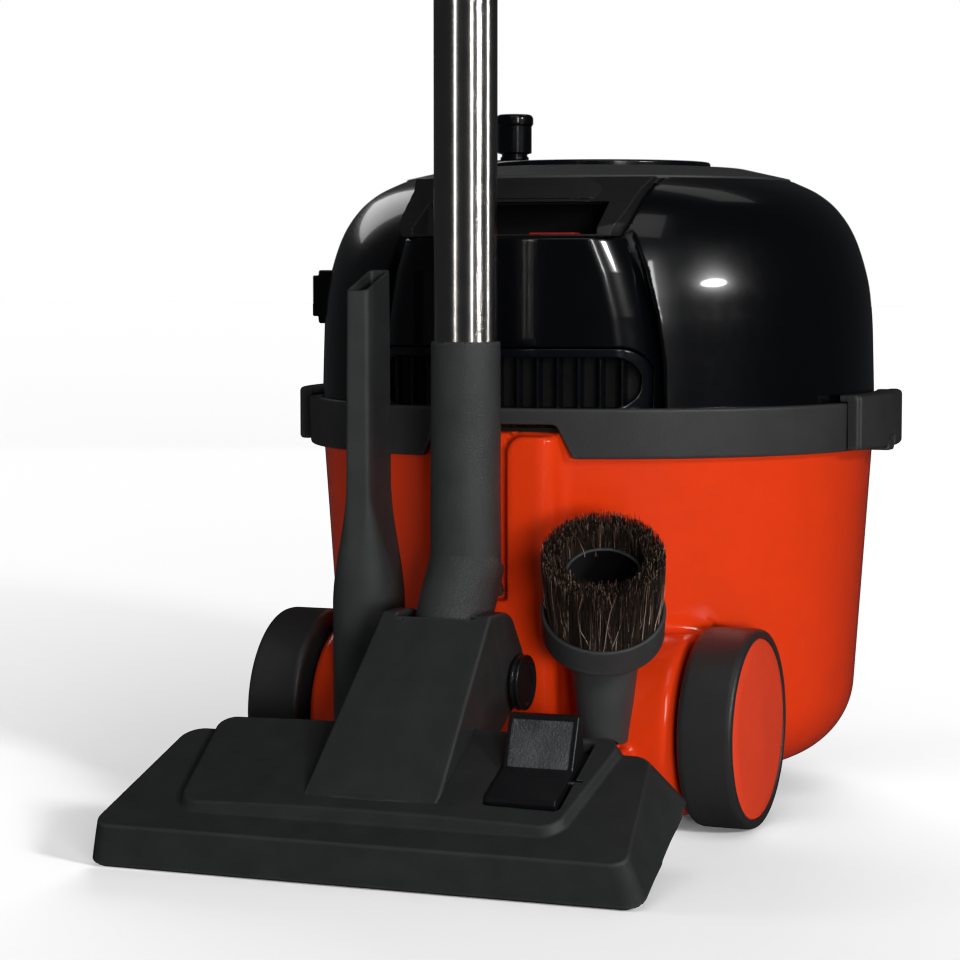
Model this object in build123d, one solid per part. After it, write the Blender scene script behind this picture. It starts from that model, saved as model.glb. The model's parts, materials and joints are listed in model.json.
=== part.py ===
"""Tub vacuum cleaner with its wand, floor tool, crevice tool and dusting brush parked on the rear.

Millimetres, +Z up, the floor at Z = 0. The rear of the machine, where the tools are parked, faces -Y,
and the hose inlet faces +Y. Every function below works about the tub's own vertical axis; the last
step moves all nodes so that the middle of the footprint is at X = Y = 0.
"""
import os
from math import cos, radians, sin

from build123d import *

# ---- tub -------------------------------------------------------------------------------------
TUB_R = 144.8               # outer radius at TUB_R_Z
TUB_R_Z = 54.0
TUB_TAPER = 0.0685          # the radius grows by this much for each millimetre of height
TUB_FLOOR = 10.0
TUB_TOP = 203.0
TUB_WALL = 3.0
TUB_CORNER = 40.0
RIM_R = 155.3
RIM_BOTTOM = 190.0
INLET_Z = 120.0
INLET_R = 27.0
INLET_BORE_R = 19.0
INLET_FRONT = 165.0         # the hose inlet is the foremost point of the machine

# ---- rear wheels and castors -----------------------------------------------------------------
WHEEL_R = 51.4
WHEEL_Y = -127.5
WHEEL_IN = 104.75           # distance from the middle plane to the inner and the outer face
WHEEL_OUT = 133.5
HUB_R = 46.5
HUB_CROWN = 2.0
AXLE_R = 4.0
LUMP_R = 47.0
LUMP_IN = 85.0
LUMP_OUT = 101.5
CASTOR_X = 62.0
CASTOR_Y = 70.0
CASTOR_R = 17.0
CASTOR_TRAIL = 10.0
CASTOR_STEM_R = 4.0
POCKET_R = 32.0
POCKET_TOP = 41.0

# ---- collar and latches ----------------------------------------------------------------------
COLLAR_R = 162.6
COLLAR_BOTTOM = 189.4
COLLAR_TOP = 215.4
NOTCH_TOP = 207.0           # underside of the collar where it is raised over the park column
NOTCH_HALF = 33.0
LATCH_R = 171.0
LATCH_ARC = 16.0            # half the angle that a latch spans
LATCH_TOP = 219.5
LATCH_PIN_X = 167.0
LATCH_PIN_Z = 191.5
LATCH_PIN_R = 1.5

# ---- head ------------------------------------------------------------------------------------
HEAD_BOTTOM = 205.4
HEAD_BASE_R = 155.2
HEAD_WALL = 3.0
CAP_R = 108.0
CAP_EDGE_Z = 335.5
CAP_TOP = 343.0
PANEL_R = 157.0             # the rear panel stands out of the dome as part of a cylinder
PANEL_TOP = 303.0
PANEL_TOP_HALF = 57.5
PANEL_FOOT_HALF = 77.0
POCKET_HALF = 50.0
POCKET_ROOF = 321.0
POCKET_FLOOR = 292.0
CABLE_X, CABLE_Y = 30.0, -121.5   # where the cable bush sits in the recess's floor
CABLE_BUSH_R = 6.0
GRILLE_HALF = 71.5
GRILLE_BOTTOM = 217.6
GRILLE_HEIGHT = 24.6
GRILLE_PITCH = 10.5
MOTOR_R = 44.0
SHAFT_R = 5.0
FAN_CASE_R = 70.0
FAN_CASE_TOP = 240.0
MOTOR_TOP = 284.0
MOTOR_SCREW_AT = 76.0       # three screws on this radius hold the motor on its plate
DRUM_R = 80.0

# ---- cable winder ----------------------------------------------------------------------------
WINDER_R = 63.0
WINDER_TOP = 346.0
KNOB_X, KNOB_Y = -43.6, -17.6
KNOB_R = 10.5
KNOB_TOP = 373.0

# ---- wand and its socket ---------------------------------------------------------------------
WAND_Y = -199.0
WAND_R = 16.0
WAND_WALL = 1.0
WAND_BOTTOM = 200.0
WAND_TOP = 675.0
SOCKET_R = 17.9
SOCKET_BOTTOM = 150.0
SOCKET_TOP = 250.5
SPIGOT_R = 14.0
COLUMN_Y = -163.0           # rear face of the park column on the tub
COLUMN_HALF = 33.0
SLOT_HALF = 7.5
PARK_LEAN = 30.0            # the park tongue leans this far from the vertical

# ---- floor tool, in its own frame: Y from its front edge to its rear, Z up from its sole -------
TOOL_FRONT_Y = -338.0
TOOL_TILT = 25.0
TOOL_HALF = 140.0
TOOL_DEPTH = 90.0
TOOL_CREASE = 21.0
TOOL_CREASE_IN = 3.5        # the front face leans back by this much up to the crease
SOLE_THICK = 4.0
PLATFORM_TOP = 27.0
NECK_TOP_Y, NECK_TOP_Z = 139.5, 63.0
KNUCKLE_Y, KNUCKLE_Z = 136.0, 36.0
KNUCKLE_R = 19.5
ROLLER_Y, ROLLER_Z = 153.5, 17.3
ROLLER_R = 14.0
PEDAL_X, PEDAL_HALF = 74.0, 17.7
PEDAL_Y, PEDAL_Z = 60.0, 24.0
STRIP_Y = (26.0, 80.0)        # where the two bristle strips sit

# ---- parked tools ----------------------------------------------------------------------------
CREVICE_X, CREVICE_Y = -64.0, -175.0
BRUSH_X, BRUSH_Y = 66.0, -175.0
PARKED_FOOT = 48.0          # both parked tools stand on ledges at this height
BRUSH_RIM = (72.5, -195.5, 118.0)
BRUSH_TILT = 38.0
BRUSH_TURN = 19.0           # the brush head leans towards the rear, turned this far to the right
BRUSH_R = 31.3
BRISTLE_LENGTH = 37.0


def tube_solid(radius, bore, bottom, top):
    """An upright tube about the Z axis."""
    height = top - bottom
    middle = (bottom + top) / 2
    solid = Cylinder(radius, height) - Cylinder(bore, height + 2) if bore else Cylinder(radius, height)
    return Pos(0, 0, middle) * solid


def across(radius, length):
    """A cylinder along X about the origin."""
    return Rot(0, 90, 0) * Cylinder(radius, length)


def span_box(x, y, z):
    """A box from three (low, high) pairs."""
    size = [high - low for low, high in (x, y, z)]
    middle = [(high + low) / 2 for low, high in (x, y, z)]
    return Pos(*middle) * Box(*size)


def side_prism(outline, low, high):
    """A prism from low to high along X, with its outline given in Y and Z."""
    face = make_face(Plane.YZ * Polyline(*outline, close=True))
    return Pos(low, 0, 0) * extrude(face, high - low, dir=(1, 0, 0))


def turned(outline):
    """A solid of revolution about Z from a closed outline of (radius, height) points."""
    return revolve(make_face(Plane.XZ * Polyline(*outline, close=True)), Axis.Z)


def mirrored(solid):
    return mirror(solid, Plane.YZ)


# ---- tub and what is fixed to it ---------------------------------------------------------------
def tub_radius(z):
    return TUB_R + (z - TUB_R_Z) * TUB_TAPER


def tub_form(inset, floor, top, corner):
    """The tub's tapered round form, drawn in by inset."""
    side = FilletPolyline((0, floor), (tub_radius(floor) - inset, floor), (tub_radius(top) - inset, top),
                          radius=corner)
    rest = Polyline((tub_radius(top) - inset, top), (0, top), (0, floor))
    return revolve(make_face(Plane.XZ * (side + rest)), Axis.Z)


def wheel_arch(side, radius, inner):
    length = 90.0
    return Pos(side * (inner + length / 2), WHEEL_Y, WHEEL_R) * across(radius, length)


def axle_lump(side):
    lump = across(LUMP_R, LUMP_OUT - LUMP_IN)
    lump = fillet(lump.edges().filter_by(GeomType.CIRCLE), 8)
    return Pos(side * (LUMP_IN + LUMP_OUT) / 2, WHEEL_Y, WHEEL_R) * lump


def park_pocket(width, thickness):
    """The leaning seat of the wand's tongue; the tongue itself is a thinner one."""
    lean = Rot(PARK_LEAN, 0, 0) * Box(width, thickness, 30)
    return Pos(0, COLUMN_Y + 1.5, 117) * lean


def tub():
    column = span_box((-COLUMN_HALF, COLUMN_HALF), (COLUMN_Y, -120), (TUB_FLOOR + 4, TUB_TOP))
    column = fillet(column.edges().filter_by(Axis.Z).group_by(Axis.Y)[0], 10)
    column -= span_box((-SLOT_HALF, SLOT_HALF), (COLUMN_Y - 1, COLUMN_Y + 9), (118, TUB_TOP + 1))
    column -= park_pocket(2 * SLOT_HALF, 7.4)
    body = tub_form(0, TUB_FLOOR, TUB_TOP, TUB_CORNER) + column
    body += tube_solid(RIM_R, 0, RIM_BOTTOM, TUB_TOP)
    for side, x in ((-1, -CREVICE_X), (1, BRUSH_X)):
        ledge = span_box((x - 20, x + 14), (CREVICE_Y - 15, -120), (28, PARKED_FOOT - 2))
        body += ledge if side > 0 else mirrored(ledge)
        body += axle_lump(side)
        body -= wheel_arch(side, WHEEL_R + 3.1, LUMP_OUT)
        body -= Pos(side * 92, WHEEL_Y, WHEEL_R) * across(AXLE_R, 20)
    hollow = tub_form(TUB_WALL, TUB_FLOOR + TUB_WALL, TUB_TOP + 1, TUB_CORNER - TUB_WALL)
    for side in (-1, 1):
        hollow -= wheel_arch(side, WHEEL_R + 6.1, LUMP_OUT - TUB_WALL)
        castor = Pos(side * CASTOR_X, CASTOR_Y, 0)
        hollow -= castor * tube_solid(POCKET_R + TUB_WALL, 0, 0, POCKET_TOP + TUB_WALL)
        hollow -= castor * tube_solid(12, 0, 0, POCKET_TOP + 24)
        body -= castor * tube_solid(POCKET_R, 0, 0, POCKET_TOP)
        body -= castor * tube_solid(CASTOR_STEM_R + 0.06, 0, 0, POCKET_TOP + 20)
    return body - hollow - along(INLET_R, 130, 170)


def along(radius, rear, front):
    """A cylinder on the hose inlet's axis."""
    return Pos(0, (rear + front) / 2, INLET_Z) * (Rot(90, 0, 0) * Cylinder(radius, front - rear))


def hose_inlet():
    """A flanged bush through the front wall that the hose end pushes into."""
    flange = along(INLET_R + 10, 140, INLET_FRONT - 6) - tub_form(0, TUB_FLOOR, TUB_TOP, TUB_CORNER)
    return flange + along(INLET_R, 138, INLET_FRONT) - along(INLET_BORE_R, 130, 170)


def stub_axle(side):
    """A headed steel pin that carries one rear wheel."""
    shank = across(AXLE_R, 46)
    head = Pos(side * 24.1, 0, 0) * across(7, 3)
    return Pos(side * 105, WHEEL_Y, WHEEL_R) * (shank + head)


def tool_post(x, y, radius):
    post = tube_solid(radius, 0, PARKED_FOOT - 2, 84)
    return Pos(x, y, 0) * chamfer(post.edges().group_by(Axis.Z)[-1], 2)


def collar():
    ring = tube_solid(COLLAR_R, 0, COLLAR_BOTTOM, COLLAR_TOP)
    ring -= tube_solid(RIM_R, 0, COLLAR_BOTTOM - 1, TUB_TOP + 0.3)
    ring -= tube_solid(156.0, 0, TUB_TOP, COLLAR_TOP + 1)
    ring = fillet(ring.edges().filter_by(GeomType.CIRCLE).sort_by(SortBy.RADIUS)[-2:], 1.5)
    notch = make_face(Plane.XZ * Polyline((-NOTCH_HALF - 9, COLLAR_BOTTOM - 1), (-NOTCH_HALF, NOTCH_TOP),
                                          (NOTCH_HALF, NOTCH_TOP), (NOTCH_HALF + 9, COLLAR_BOTTOM - 1), close=True))
    ring -= Pos(0, -130, 0) * extrude(notch, 60, dir=(0, -1, 0))
    for side in (-1, 1):
        lug = span_box((158.5, 170.0), (-6, 6), (COLLAR_BOTTOM - 0.9, LATCH_PIN_Z + 3))
        lug -= Pos(LATCH_PIN_X, 0, LATCH_PIN_Z) * (Rot(90, 0, 0) * Cylinder(LATCH_PIN_R + 0.06, 20))
        ring += lug if side > 0 else mirrored(lug)
    return ring


def latch(side):
    """A curved side latch: it hooks over the collar's top edge and swings outwards about its foot."""
    section = turned([(164.5, 190), (LATCH_R - 3, 190), (LATCH_R, 195), (LATCH_R, LATCH_TOP - 3),
                      (LATCH_R - 3, LATCH_TOP), (156.2, LATCH_TOP), (156.2, COLLAR_TOP + 0.4),
                      (163.0, COLLAR_TOP + 0.4), (163.0, 204), (164.5, 202)])
    reach = 200.0
    spread = reach * sin(radians(LATCH_ARC)) / cos(radians(LATCH_ARC))
    wedge = make_face(Polyline((0, 0), (reach, -spread), (reach, spread), close=True))
    body = section & extrude(wedge, 300)
    body -= span_box((150, 180), (-6.5, 6.5), (180, LATCH_PIN_Z + 5))
    body -= Pos(LATCH_PIN_X, 0, LATCH_PIN_Z) * (Rot(90, 0, 0) * Cylinder(LATCH_PIN_R, 26))
    return body if side > 0 else mirrored(body)


def latch_pin(side):
    pin = Pos(LATCH_PIN_X, 0, LATCH_PIN_Z) * (Rot(90, 0, 0) * Cylinder(LATCH_PIN_R, 26))
    return pin if side > 0 else mirrored(pin)


def filter_ring():
    """The soft sealing ring that the head presses on the tub's rim."""
    return tube_solid(155.0, 146.0, TUB_TOP, HEAD_BOTTOM - 0.3)


def filter_cloth():
    """The cloth drum filter that hangs inside the tub from its ring."""
    outer = Pos(0, 0, 178) * Cone(124, 140, 50)
    inner = Pos(0, 0, 180) * Cone(122, 138.6, 50)
    flange = tube_solid(146.0, 138.0, TUB_TOP, HEAD_BOTTOM - 0.3)
    return outer - inner + flange


# ---- wheels ------------------------------------------------------------------------------------
def rear_tyre(side):
    """The black moulded wheel body, dished on its outer face for the coloured hub cap."""
    width = WHEEL_OUT - WHEEL_IN
    body = across(WHEEL_R, width)
    body = fillet(body.edges().filter_by(GeomType.CIRCLE), 6)
    body -= Pos(width / 2, 0, 0) * across(HUB_R, 12)
    body -= across(AXLE_R + 0.05, 60)
    placed = Pos((WHEEL_IN + WHEEL_OUT) / 2, WHEEL_Y, WHEEL_R) * body
    return placed if side > 0 else mirrored(placed)


def hub_cap(side):
    """A shallow domed disc that closes the wheel over the axle's head."""
    sphere_r = (HUB_R ** 2 + HUB_CROWN ** 2) / (2 * HUB_CROWN)
    body = across(HUB_R, 10) & Pos(3 + HUB_CROWN - sphere_r, 0, 0) * Sphere(sphere_r)
    body -= span_box((-6, -3), (-60, 60), (-60, 60))
    body -= Pos(-3, 0, 0) * across(9, 10)
    placed = Pos(WHEEL_OUT - 3, WHEEL_Y, WHEEL_R) * body
    return placed if side > 0 else mirrored(placed)


def castor_fork(side):
    stem = tube_solid(CASTOR_STEM_R, 0, 38, POCKET_TOP + 18)
    plate = span_box((-12, 12), (-CASTOR_TRAIL - 8, 9), (35.5, 38.5))
    body = stem + plate
    for cheek in (-1, 1):
        body += span_box(sorted((cheek * 9.5, cheek * 12)), (-CASTOR_TRAIL - 8, -CASTOR_TRAIL + 8), (10, 36))
    body -= Pos(0, -CASTOR_TRAIL, CASTOR_R) * across(2.5, 30)
    return Pos(side * CASTOR_X, CASTOR_Y, 0) * body


def castor_wheel(side):
    wheel = fillet(across(CASTOR_R, 18).edges().filter_by(GeomType.CIRCLE), 3) - across(2.55, 30)
    return Pos(side * CASTOR_X, CASTOR_Y - CASTOR_TRAIL, CASTOR_R) * wheel


def castor_pin(side):
    return Pos(side * CASTOR_X, CASTOR_Y - CASTOR_TRAIL, CASTOR_R) * across(2.5, 24)


# ---- head --------------------------------------------------------------------------------------
def dome_form(inset, bottom):
    """The dome's solid form, drawn in by inset: a steep wall that turns over to the top cap."""
    wall_top = 262.0
    points = ((153.4, wall_top), (151.2, 280), (144.6, 303), (126.6, 325.6), (CAP_R, CAP_EDGE_Z))
    shoulder = Spline(*[(r - inset * (1 - 0.14 * i), z - inset * 0.24 * i) for i, (r, z) in enumerate(points)],
                      tangents=((-0.03, 1), (-1, 0.48)))
    start, end = shoulder @ 0, shoulder @ 1
    rest = Polyline((end.X, end.Y), (0, end.Y), (0, bottom), (HEAD_BASE_R - inset, bottom), (start.X, start.Y))
    return revolve(make_face(Plane.XZ * (shoulder + rest)), Axis.Z)


def panel_form(inset):
    """The bulging rear panel, wider at its foot."""
    foot, top = HEAD_BOTTOM + 10.6, PANEL_TOP - inset
    outline = Polyline((-PANEL_FOOT_HALF + inset, foot), (-PANEL_TOP_HALF + inset, top),
                       (PANEL_TOP_HALF - inset, top), (PANEL_FOOT_HALF - inset, foot), close=True)
    prism = extrude(make_face(Plane.XZ * outline), 200, dir=(0, -1, 0))
    return prism & tube_solid(PANEL_R - inset, 0, foot - 1, PANEL_TOP + 1)


def pocket_form(grow, top):
    """The recess above the rear panel, with a sloping mouth."""
    outline = [(-175, top), (-175, PANEL_TOP), (-151 - grow, PANEL_TOP), (-149.5 - grow, POCKET_FLOOR - grow),
               (-112 + grow, POCKET_FLOOR - grow), (-122 + grow, top)]
    return side_prism(outline, -POCKET_HALF - grow, POCKET_HALF + grow)


def grille_opening():
    opening = Pos(0, -150, GRILLE_BOTTOM + GRILLE_HEIGHT / 2) * Box(2 * GRILLE_HALF, 60, GRILLE_HEIGHT)
    return fillet(opening.edges().filter_by(Axis.Y), 10)


def head_shell():
    outer = dome_form(0, HEAD_BOTTOM) + panel_form(0)
    hollow = dome_form(HEAD_WALL, HEAD_BOTTOM - 1) + panel_form(HEAD_WALL)
    hollow -= pocket_form(HEAD_WALL, POCKET_ROOF + HEAD_WALL)
    shell = outer - hollow - pocket_form(0, POCKET_ROOF) - grille_opening()
    shell -= tube_solid(CAP_R - 6, 0, 300, 350)
    return shell - Pos(CABLE_X, CABLE_Y, 288) * Cylinder(CABLE_BUSH_R, 20)


def vent_grille():
    """Upright bars between two rails, set into the opening at the foot of the rear panel."""
    ring = tube_solid(PANEL_R - 1, PANEL_R - 7, GRILLE_BOTTOM, GRILLE_BOTTOM + GRILLE_HEIGHT)
    bars = span_box((-GRILLE_HALF, GRILLE_HALF), (-170, -100), (GRILLE_BOTTOM, GRILLE_BOTTOM + 1.2))
    bars += Pos(0, 0, GRILLE_HEIGHT - 1.2) * bars
    count = 6
    for i in range(-count, count + 1):
        x = i * GRILLE_PITCH
        bars += span_box((x - 0.8, x + 0.8), (-170, -100), (GRILLE_BOTTOM, GRILLE_BOTTOM + GRILLE_HEIGHT))
    return ring & bars & grille_opening()


def pocket_liner():
    """The matte tray at the bottom of the recess, with the cable bush's seat."""
    tray = span_box((-POCKET_HALF + 0.3, POCKET_HALF - 0.3), (-149, -113.5), (POCKET_FLOOR, POCKET_FLOOR + 2))
    return tray - Pos(CABLE_X, CABLE_Y, POCKET_FLOOR) * Cylinder(CABLE_BUSH_R, 10)


def cable_bush():
    """The mains cable's outlet in the floor of the recess; no cable is modelled."""
    bush = tube_solid(CABLE_BUSH_R, 3.8, POCKET_FLOOR - 4, POCKET_FLOOR + 4)
    return Pos(CABLE_X, CABLE_Y, 0) * bush


def top_cap():
    """The matte plate over the top of the dome, with a round well for the winder."""
    plate = turned([(0, 336), (CAP_R - 6, 336), (CAP_R - 6, 334), (CAP_R - 7.5, 332), (CAP_R - 7.5, 330),
                    (0, 330)])
    plate += turned([(0, 336), (CAP_R - 0.5, CAP_EDGE_Z + 0.5), (80, CAP_TOP), (0, CAP_TOP)])
    plate -= tube_solid(WINDER_R + 1.5, 0, 339.5, 350)
    return plate - tube_solid(8.06, 0, 320, 350)


def plug_clip():
    """A small moulded clip on the side of the dome that holds the cable's end."""
    block = span_box((151.0, 160.0), (-9, 9), (256, 286))
    block -= span_box((155.5, 161), (-4, 4), (250, 290))
    block -= dome_form(-0.02, HEAD_BOTTOM)
    return Rot(0, 0, 196) * block


def motor_plate():
    """The head's floor: it carries the motor and has the intake in its middle."""
    plate = tube_solid(151.6, 24, HEAD_BOTTOM + 2.6, HEAD_BOTTOM + 6.6)
    for i in range(3):
        plate -= Rot(0, 0, 30 + 120 * i) * (Pos(MOTOR_SCREW_AT, 0, HEAD_BOTTOM + 4) * Cylinder(2.6, 12))
    return plate


def motor_housing():
    """The motor's can: fan chamber below, motor above, held on the plate by three ears."""
    bottom, wall = HEAD_BOTTOM + 6.6, 3.0
    can = tube_solid(FAN_CASE_R, 0, bottom, FAN_CASE_TOP) + tube_solid(MOTOR_R + 4, 0, FAN_CASE_TOP, MOTOR_TOP)
    can -= tube_solid(FAN_CASE_R - 4, 0, bottom + wall, FAN_CASE_TOP - wall)
    can -= tube_solid(MOTOR_R, 0, FAN_CASE_TOP + wall, MOTOR_TOP - wall)
    can -= tube_solid(24, 0, bottom - 1, bottom + 4)
    can -= tube_solid(SHAFT_R + 0.06, 0, FAN_CASE_TOP - 4, MOTOR_TOP + 1)
    ear = span_box((FAN_CASE_R - 2, MOTOR_SCREW_AT + 6), (-8, 8), (bottom, bottom + 4))
    ear -= Pos(MOTOR_SCREW_AT, 0, bottom) * Cylinder(2.6, 20)
    outlet = span_box((FAN_CASE_R - 10, FAN_CASE_R + 5), (-7, 7), (222, 232))
    for i in range(3):
        can += Rot(0, 0, 30 + 120 * i) * ear
    for i in range(8):
        can -= Rot(0, 0, 45 * i) * outlet
    return can


def motor_screws():
    bottom = HEAD_BOTTOM + 10.6
    screw = tube_solid(2.6, 0, bottom - 8, bottom) + tube_solid(4.6, 0, bottom, bottom + 3)
    screw = Pos(MOTOR_SCREW_AT, 0, 0) * screw
    return Rot(0, 0, 30) * screw + Rot(0, 0, 150) * screw + Rot(0, 0, 270) * screw


def motor_seal():
    """The foam ring between the motor plate and the filter's mouth."""
    return tube_solid(60, 26, HEAD_BOTTOM + 0.2, HEAD_BOTTOM + 2.6)


def exhaust_filter():
    """The flat foam pad behind the vent grille."""
    pad = tube_solid(PANEL_R - 9, PANEL_R - 17, GRILLE_BOTTOM - 2, GRILLE_BOTTOM + GRILLE_HEIGHT)
    return pad & span_box((-GRILLE_HALF + 2, GRILLE_HALF - 2), (-170, -100), (200, 260))


def motor_rotor():
    """The motor's shaft with its armature."""
    return tube_solid(SHAFT_R, 0, 214, 281) + tube_solid(30, 0, 247, 274)


def impeller():
    disc = tube_solid(62, 22, 216, 218) + tube_solid(62, SHAFT_R, 229, 231) + tube_solid(9, SHAFT_R, 219, 231)
    for i in range(9):
        vane = span_box((22, 61), (-0.8, 0.8), (217.5, 229.5))
        disc += Rot(0, 0, 40 * i) * vane
    return disc


def power_switch():
    """A rocker in the recess, just behind the lip of the rear panel."""
    cap = side_prism([(-6, -3), (-6, 3), (-2, 4.2), (6, 2), (6, -3)], -13, 13)
    stem = side_prism([(-4.5, -3), (4.5, -3), (3, -4.5), (-3, -4.5)], -11, 11)
    return Pos(27, -143, 300.5) * (cap + stem - across(1.5, 40))


def switch_frame():
    """The rocker's cradle on the recess floor, with its pivot pin."""
    floor = POCKET_FLOOR + 2
    base = span_box((12, 42), (-149, -137), (floor, floor + 1))
    for x in ((12, 13.7), (40.3, 42)):
        base += span_box(x, (-147, -139), (floor, 303))
    return base + Pos(27, -143, 300.5) * across(1.45, 28)


def cable_drum():
    """The spool below the winder disc; it turns with it."""
    drum = tube_solid(DRUM_R, 0, 290, 293) + tube_solid(DRUM_R, 0, 324, 327)
    drum += tube_solid(34, 0, 290, 327)
    return drum - tube_solid(8, 0, 280, 330) - tube_solid(28, 12, 286, 322)


def winder_disc():
    """The turning disc in the top cap, with its spindle and the boss that carries the crank knob."""
    disc = turned([(0, 340), (WINDER_R - 1, 340), (WINDER_R, 341), (WINDER_R, 344.6), (WINDER_R - 2, WINDER_TOP),
                   (0, WINDER_TOP)])
    disc += tube_solid(8, 0, 288, 341)
    disc += Pos(KNOB_X, KNOB_Y, 0) * (tube_solid(11, 0, 345, 347.5) + tube_solid(3, 0, 347, 366))
    return disc


def crank_knob():
    knob = turned([(3.05, 347.7), (7.6, 347.7), (7.2, 350.6), (9.6, 350.8), (9.6, 366.6), (KNOB_R, 367.4),
                   (KNOB_R, KNOB_TOP - 2.5), (KNOB_R - 2.5, KNOB_TOP), (0, KNOB_TOP), (0, 366.3), (3.05, 366.3)])
    return Pos(KNOB_X, KNOB_Y, 0) * knob


# ---- wand, socket and swivel elbow ---------------------------------------------------------------
def wand_tube():
    return Pos(0, WAND_Y, 0) * tube_solid(WAND_R, WAND_R - WAND_WALL, WAND_BOTTOM, WAND_TOP)


def neck_socket():
    """The tool's upper socket, with the leaning tongue that parks it on the tub."""
    tube = tube_solid(SOCKET_R, 0, SOCKET_BOTTOM, SOCKET_TOP)
    tube -= tube_solid(WAND_R, 0, WAND_BOTTOM, SOCKET_TOP + 1)
    tube -= tube_solid(SPIGOT_R + 0.06, 0, SOCKET_BOTTOM - 1, WAND_BOTTOM + 1)
    web = side_prism([(WAND_Y + 15.5, 176), (COLUMN_Y - 4.5, 146), (COLUMN_Y - 4.5, 122),
                      (WAND_Y + 20.5, 151), (WAND_Y + 15.5, 151)], -5, 5)
    tongue = Pos(0, COLUMN_Y + 1.5, 117) * (Rot(PARK_LEAN, 0, 0) * Box(13, 5, 28))
    tongue = Pos(0, -3.2, 5.6) * tongue
    return Pos(0, WAND_Y, 0) * tube + web + tongue


def swivel_elbow():
    """The bent joint between the socket and the floor tool: it turns in the socket and nods in the neck."""
    knuckle = tool_point(KNUCKLE_Y, KNUCKLE_Z)
    bend = (0, WAND_Y, 136)
    path = FilletPolyline((0, WAND_Y, SOCKET_BOTTOM - 0.2), bend, (0, knuckle[1], knuckle[2]), radius=24)
    outer = sweep(Plane(origin=path @ 0, z_dir=path % 0) * Circle(SOCKET_R + 0.9), path)
    barrel = Pos(*knuckle) * across(KNUCKLE_R, 39)
    bore = sweep(Plane(origin=path @ 0, z_dir=path % 0) * Circle(SPIGOT_R - 2), path)
    spigot = Pos(0, WAND_Y, 0) * tube_solid(SPIGOT_R, 0, SOCKET_BOTTOM - 4, SOCKET_BOTTOM + 30)
    trunnion = Pos(*knuckle) * across(6, 47)
    body = outer + barrel + spigot + trunnion
    mouth = Pos(*knuckle) * (Rot(TOOL_TILT - 15, 0, 0) * span_box((-11, 11), (-30, 0), (-11, 11)))
    return body - bore - Pos(0, WAND_Y, 0) * tube_solid(SPIGOT_R - 2, 0, 144, 190) - mouth


# ---- floor tool ----------------------------------------------------------------------------------
def tool_point(y, z):
    """A point of the floor tool's middle plane, in the machine's frame."""
    tilt = radians(TOOL_TILT)
    return (0, TOOL_FRONT_Y + y * cos(tilt) - z * sin(tilt), y * sin(tilt) + z * cos(tilt))


def placed_tool(solid):
    return Pos(0, TOOL_FRONT_Y, 0) * (Rot(TOOL_TILT, 0, 0) * solid)


def trapezoid(front, front_half, rear, rear_half, z, corner):
    points = ((-front_half, front), (front_half, front), (rear_half, rear), (-rear_half, rear))
    face = make_face(Pos(0, 0, z) * Polyline(*points, close=True))
    return fillet(face.vertices(), corner)


def tool_cover():
    """The floor tool's upper shell with its raised middle platform."""
    low = trapezoid(0.5, TOOL_HALF, TOOL_DEPTH, TOOL_HALF - 5, SOLE_THICK, 9)
    high = trapezoid(TOOL_CREASE_IN, TOOL_HALF - 4, TOOL_DEPTH, TOOL_HALF - 17, TOOL_CREASE, 9)
    body = loft([low, high])
    step_low = trapezoid(18, 93, TOOL_DEPTH + 6, 105, TOOL_CREASE - 1, 12)
    step_high = trapezoid(21.5, 89.5, TOOL_DEPTH + 6, 101, PLATFORM_TOP, 12)
    body += loft([step_low, step_high])
    body -= span_box((-TOOL_HALF + 22, TOOL_HALF - 22), (12, TOOL_DEPTH - 4), (0, TOOL_CREASE - 4))
    body -= span_box((-19, 19), (60, TOOL_DEPTH + 10), (SOLE_THICK, 30))
    well = span_box((PEDAL_X - 19.2, PEDAL_X + 19.2), (35, 92), (TOOL_CREASE - 2, 40))
    return body - well - pedal_pin()


def sole_plate():
    """The metal sole with its suction mouth and two slots for the bristle strips."""
    plate = extrude(trapezoid(0.5, TOOL_HALF - 1, TOOL_DEPTH, TOOL_HALF - 6, 0, 8), SOLE_THICK - 0.1)
    plate -= span_box((-100, 100), (38, 50), (-1, 8)) + span_box((-19, 19), (48, 74), (-1, 8))
    for y in STRIP_Y:
        plate -= span_box((-117, 117), (y - 3.3, y + 3.3), (-1, 8))
    return plate


def neck_side(drop):
    """The neck's side outline, drawn in by drop."""
    return [(32 + drop, PLATFORM_TOP), (NECK_TOP_Y, NECK_TOP_Z - drop), (150, 60 - drop), (160, 49 - drop),
            (167 - drop, 30), (168 - drop, 16), (162, 5 + drop), (103 + drop, 5 + drop), (97 + drop, PLATFORM_TOP)]


def neck_housing():
    """The sloping neck: two cheeks and a top plate, with a gap at the rear for the elbow to nod in."""
    plan = make_face(Polyline((-35, 30), (35, 30), (29, 140), (30.5, 175), (-30.5, 175), (-29, 140), close=True))
    body = side_prism(neck_side(0), -40, 40) & extrude(plan, 80)
    body -= side_prism([(104, 0), (104, 48), (130.5, 57), (141, 64.6), (180, 80), (180, 0)], -20.5, 20.5)
    body -= side_prism([(60, PLATFORM_TOP - 1), (60, 33), (105, 48), (105, PLATFORM_TOP - 1)], -19, 19)
    body -= Pos(0, KNUCKLE_Y, KNUCKLE_Z) * across(6.06, 47.4)
    for side in (-1, 1):
        body -= Pos(side * 30, ROLLER_Y, ROLLER_Z) * across(3, 12)
    return body


def roller_pin(side):
    return Pos(side * 29.5, ROLLER_Y, ROLLER_Z) * across(3, 9)


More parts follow.
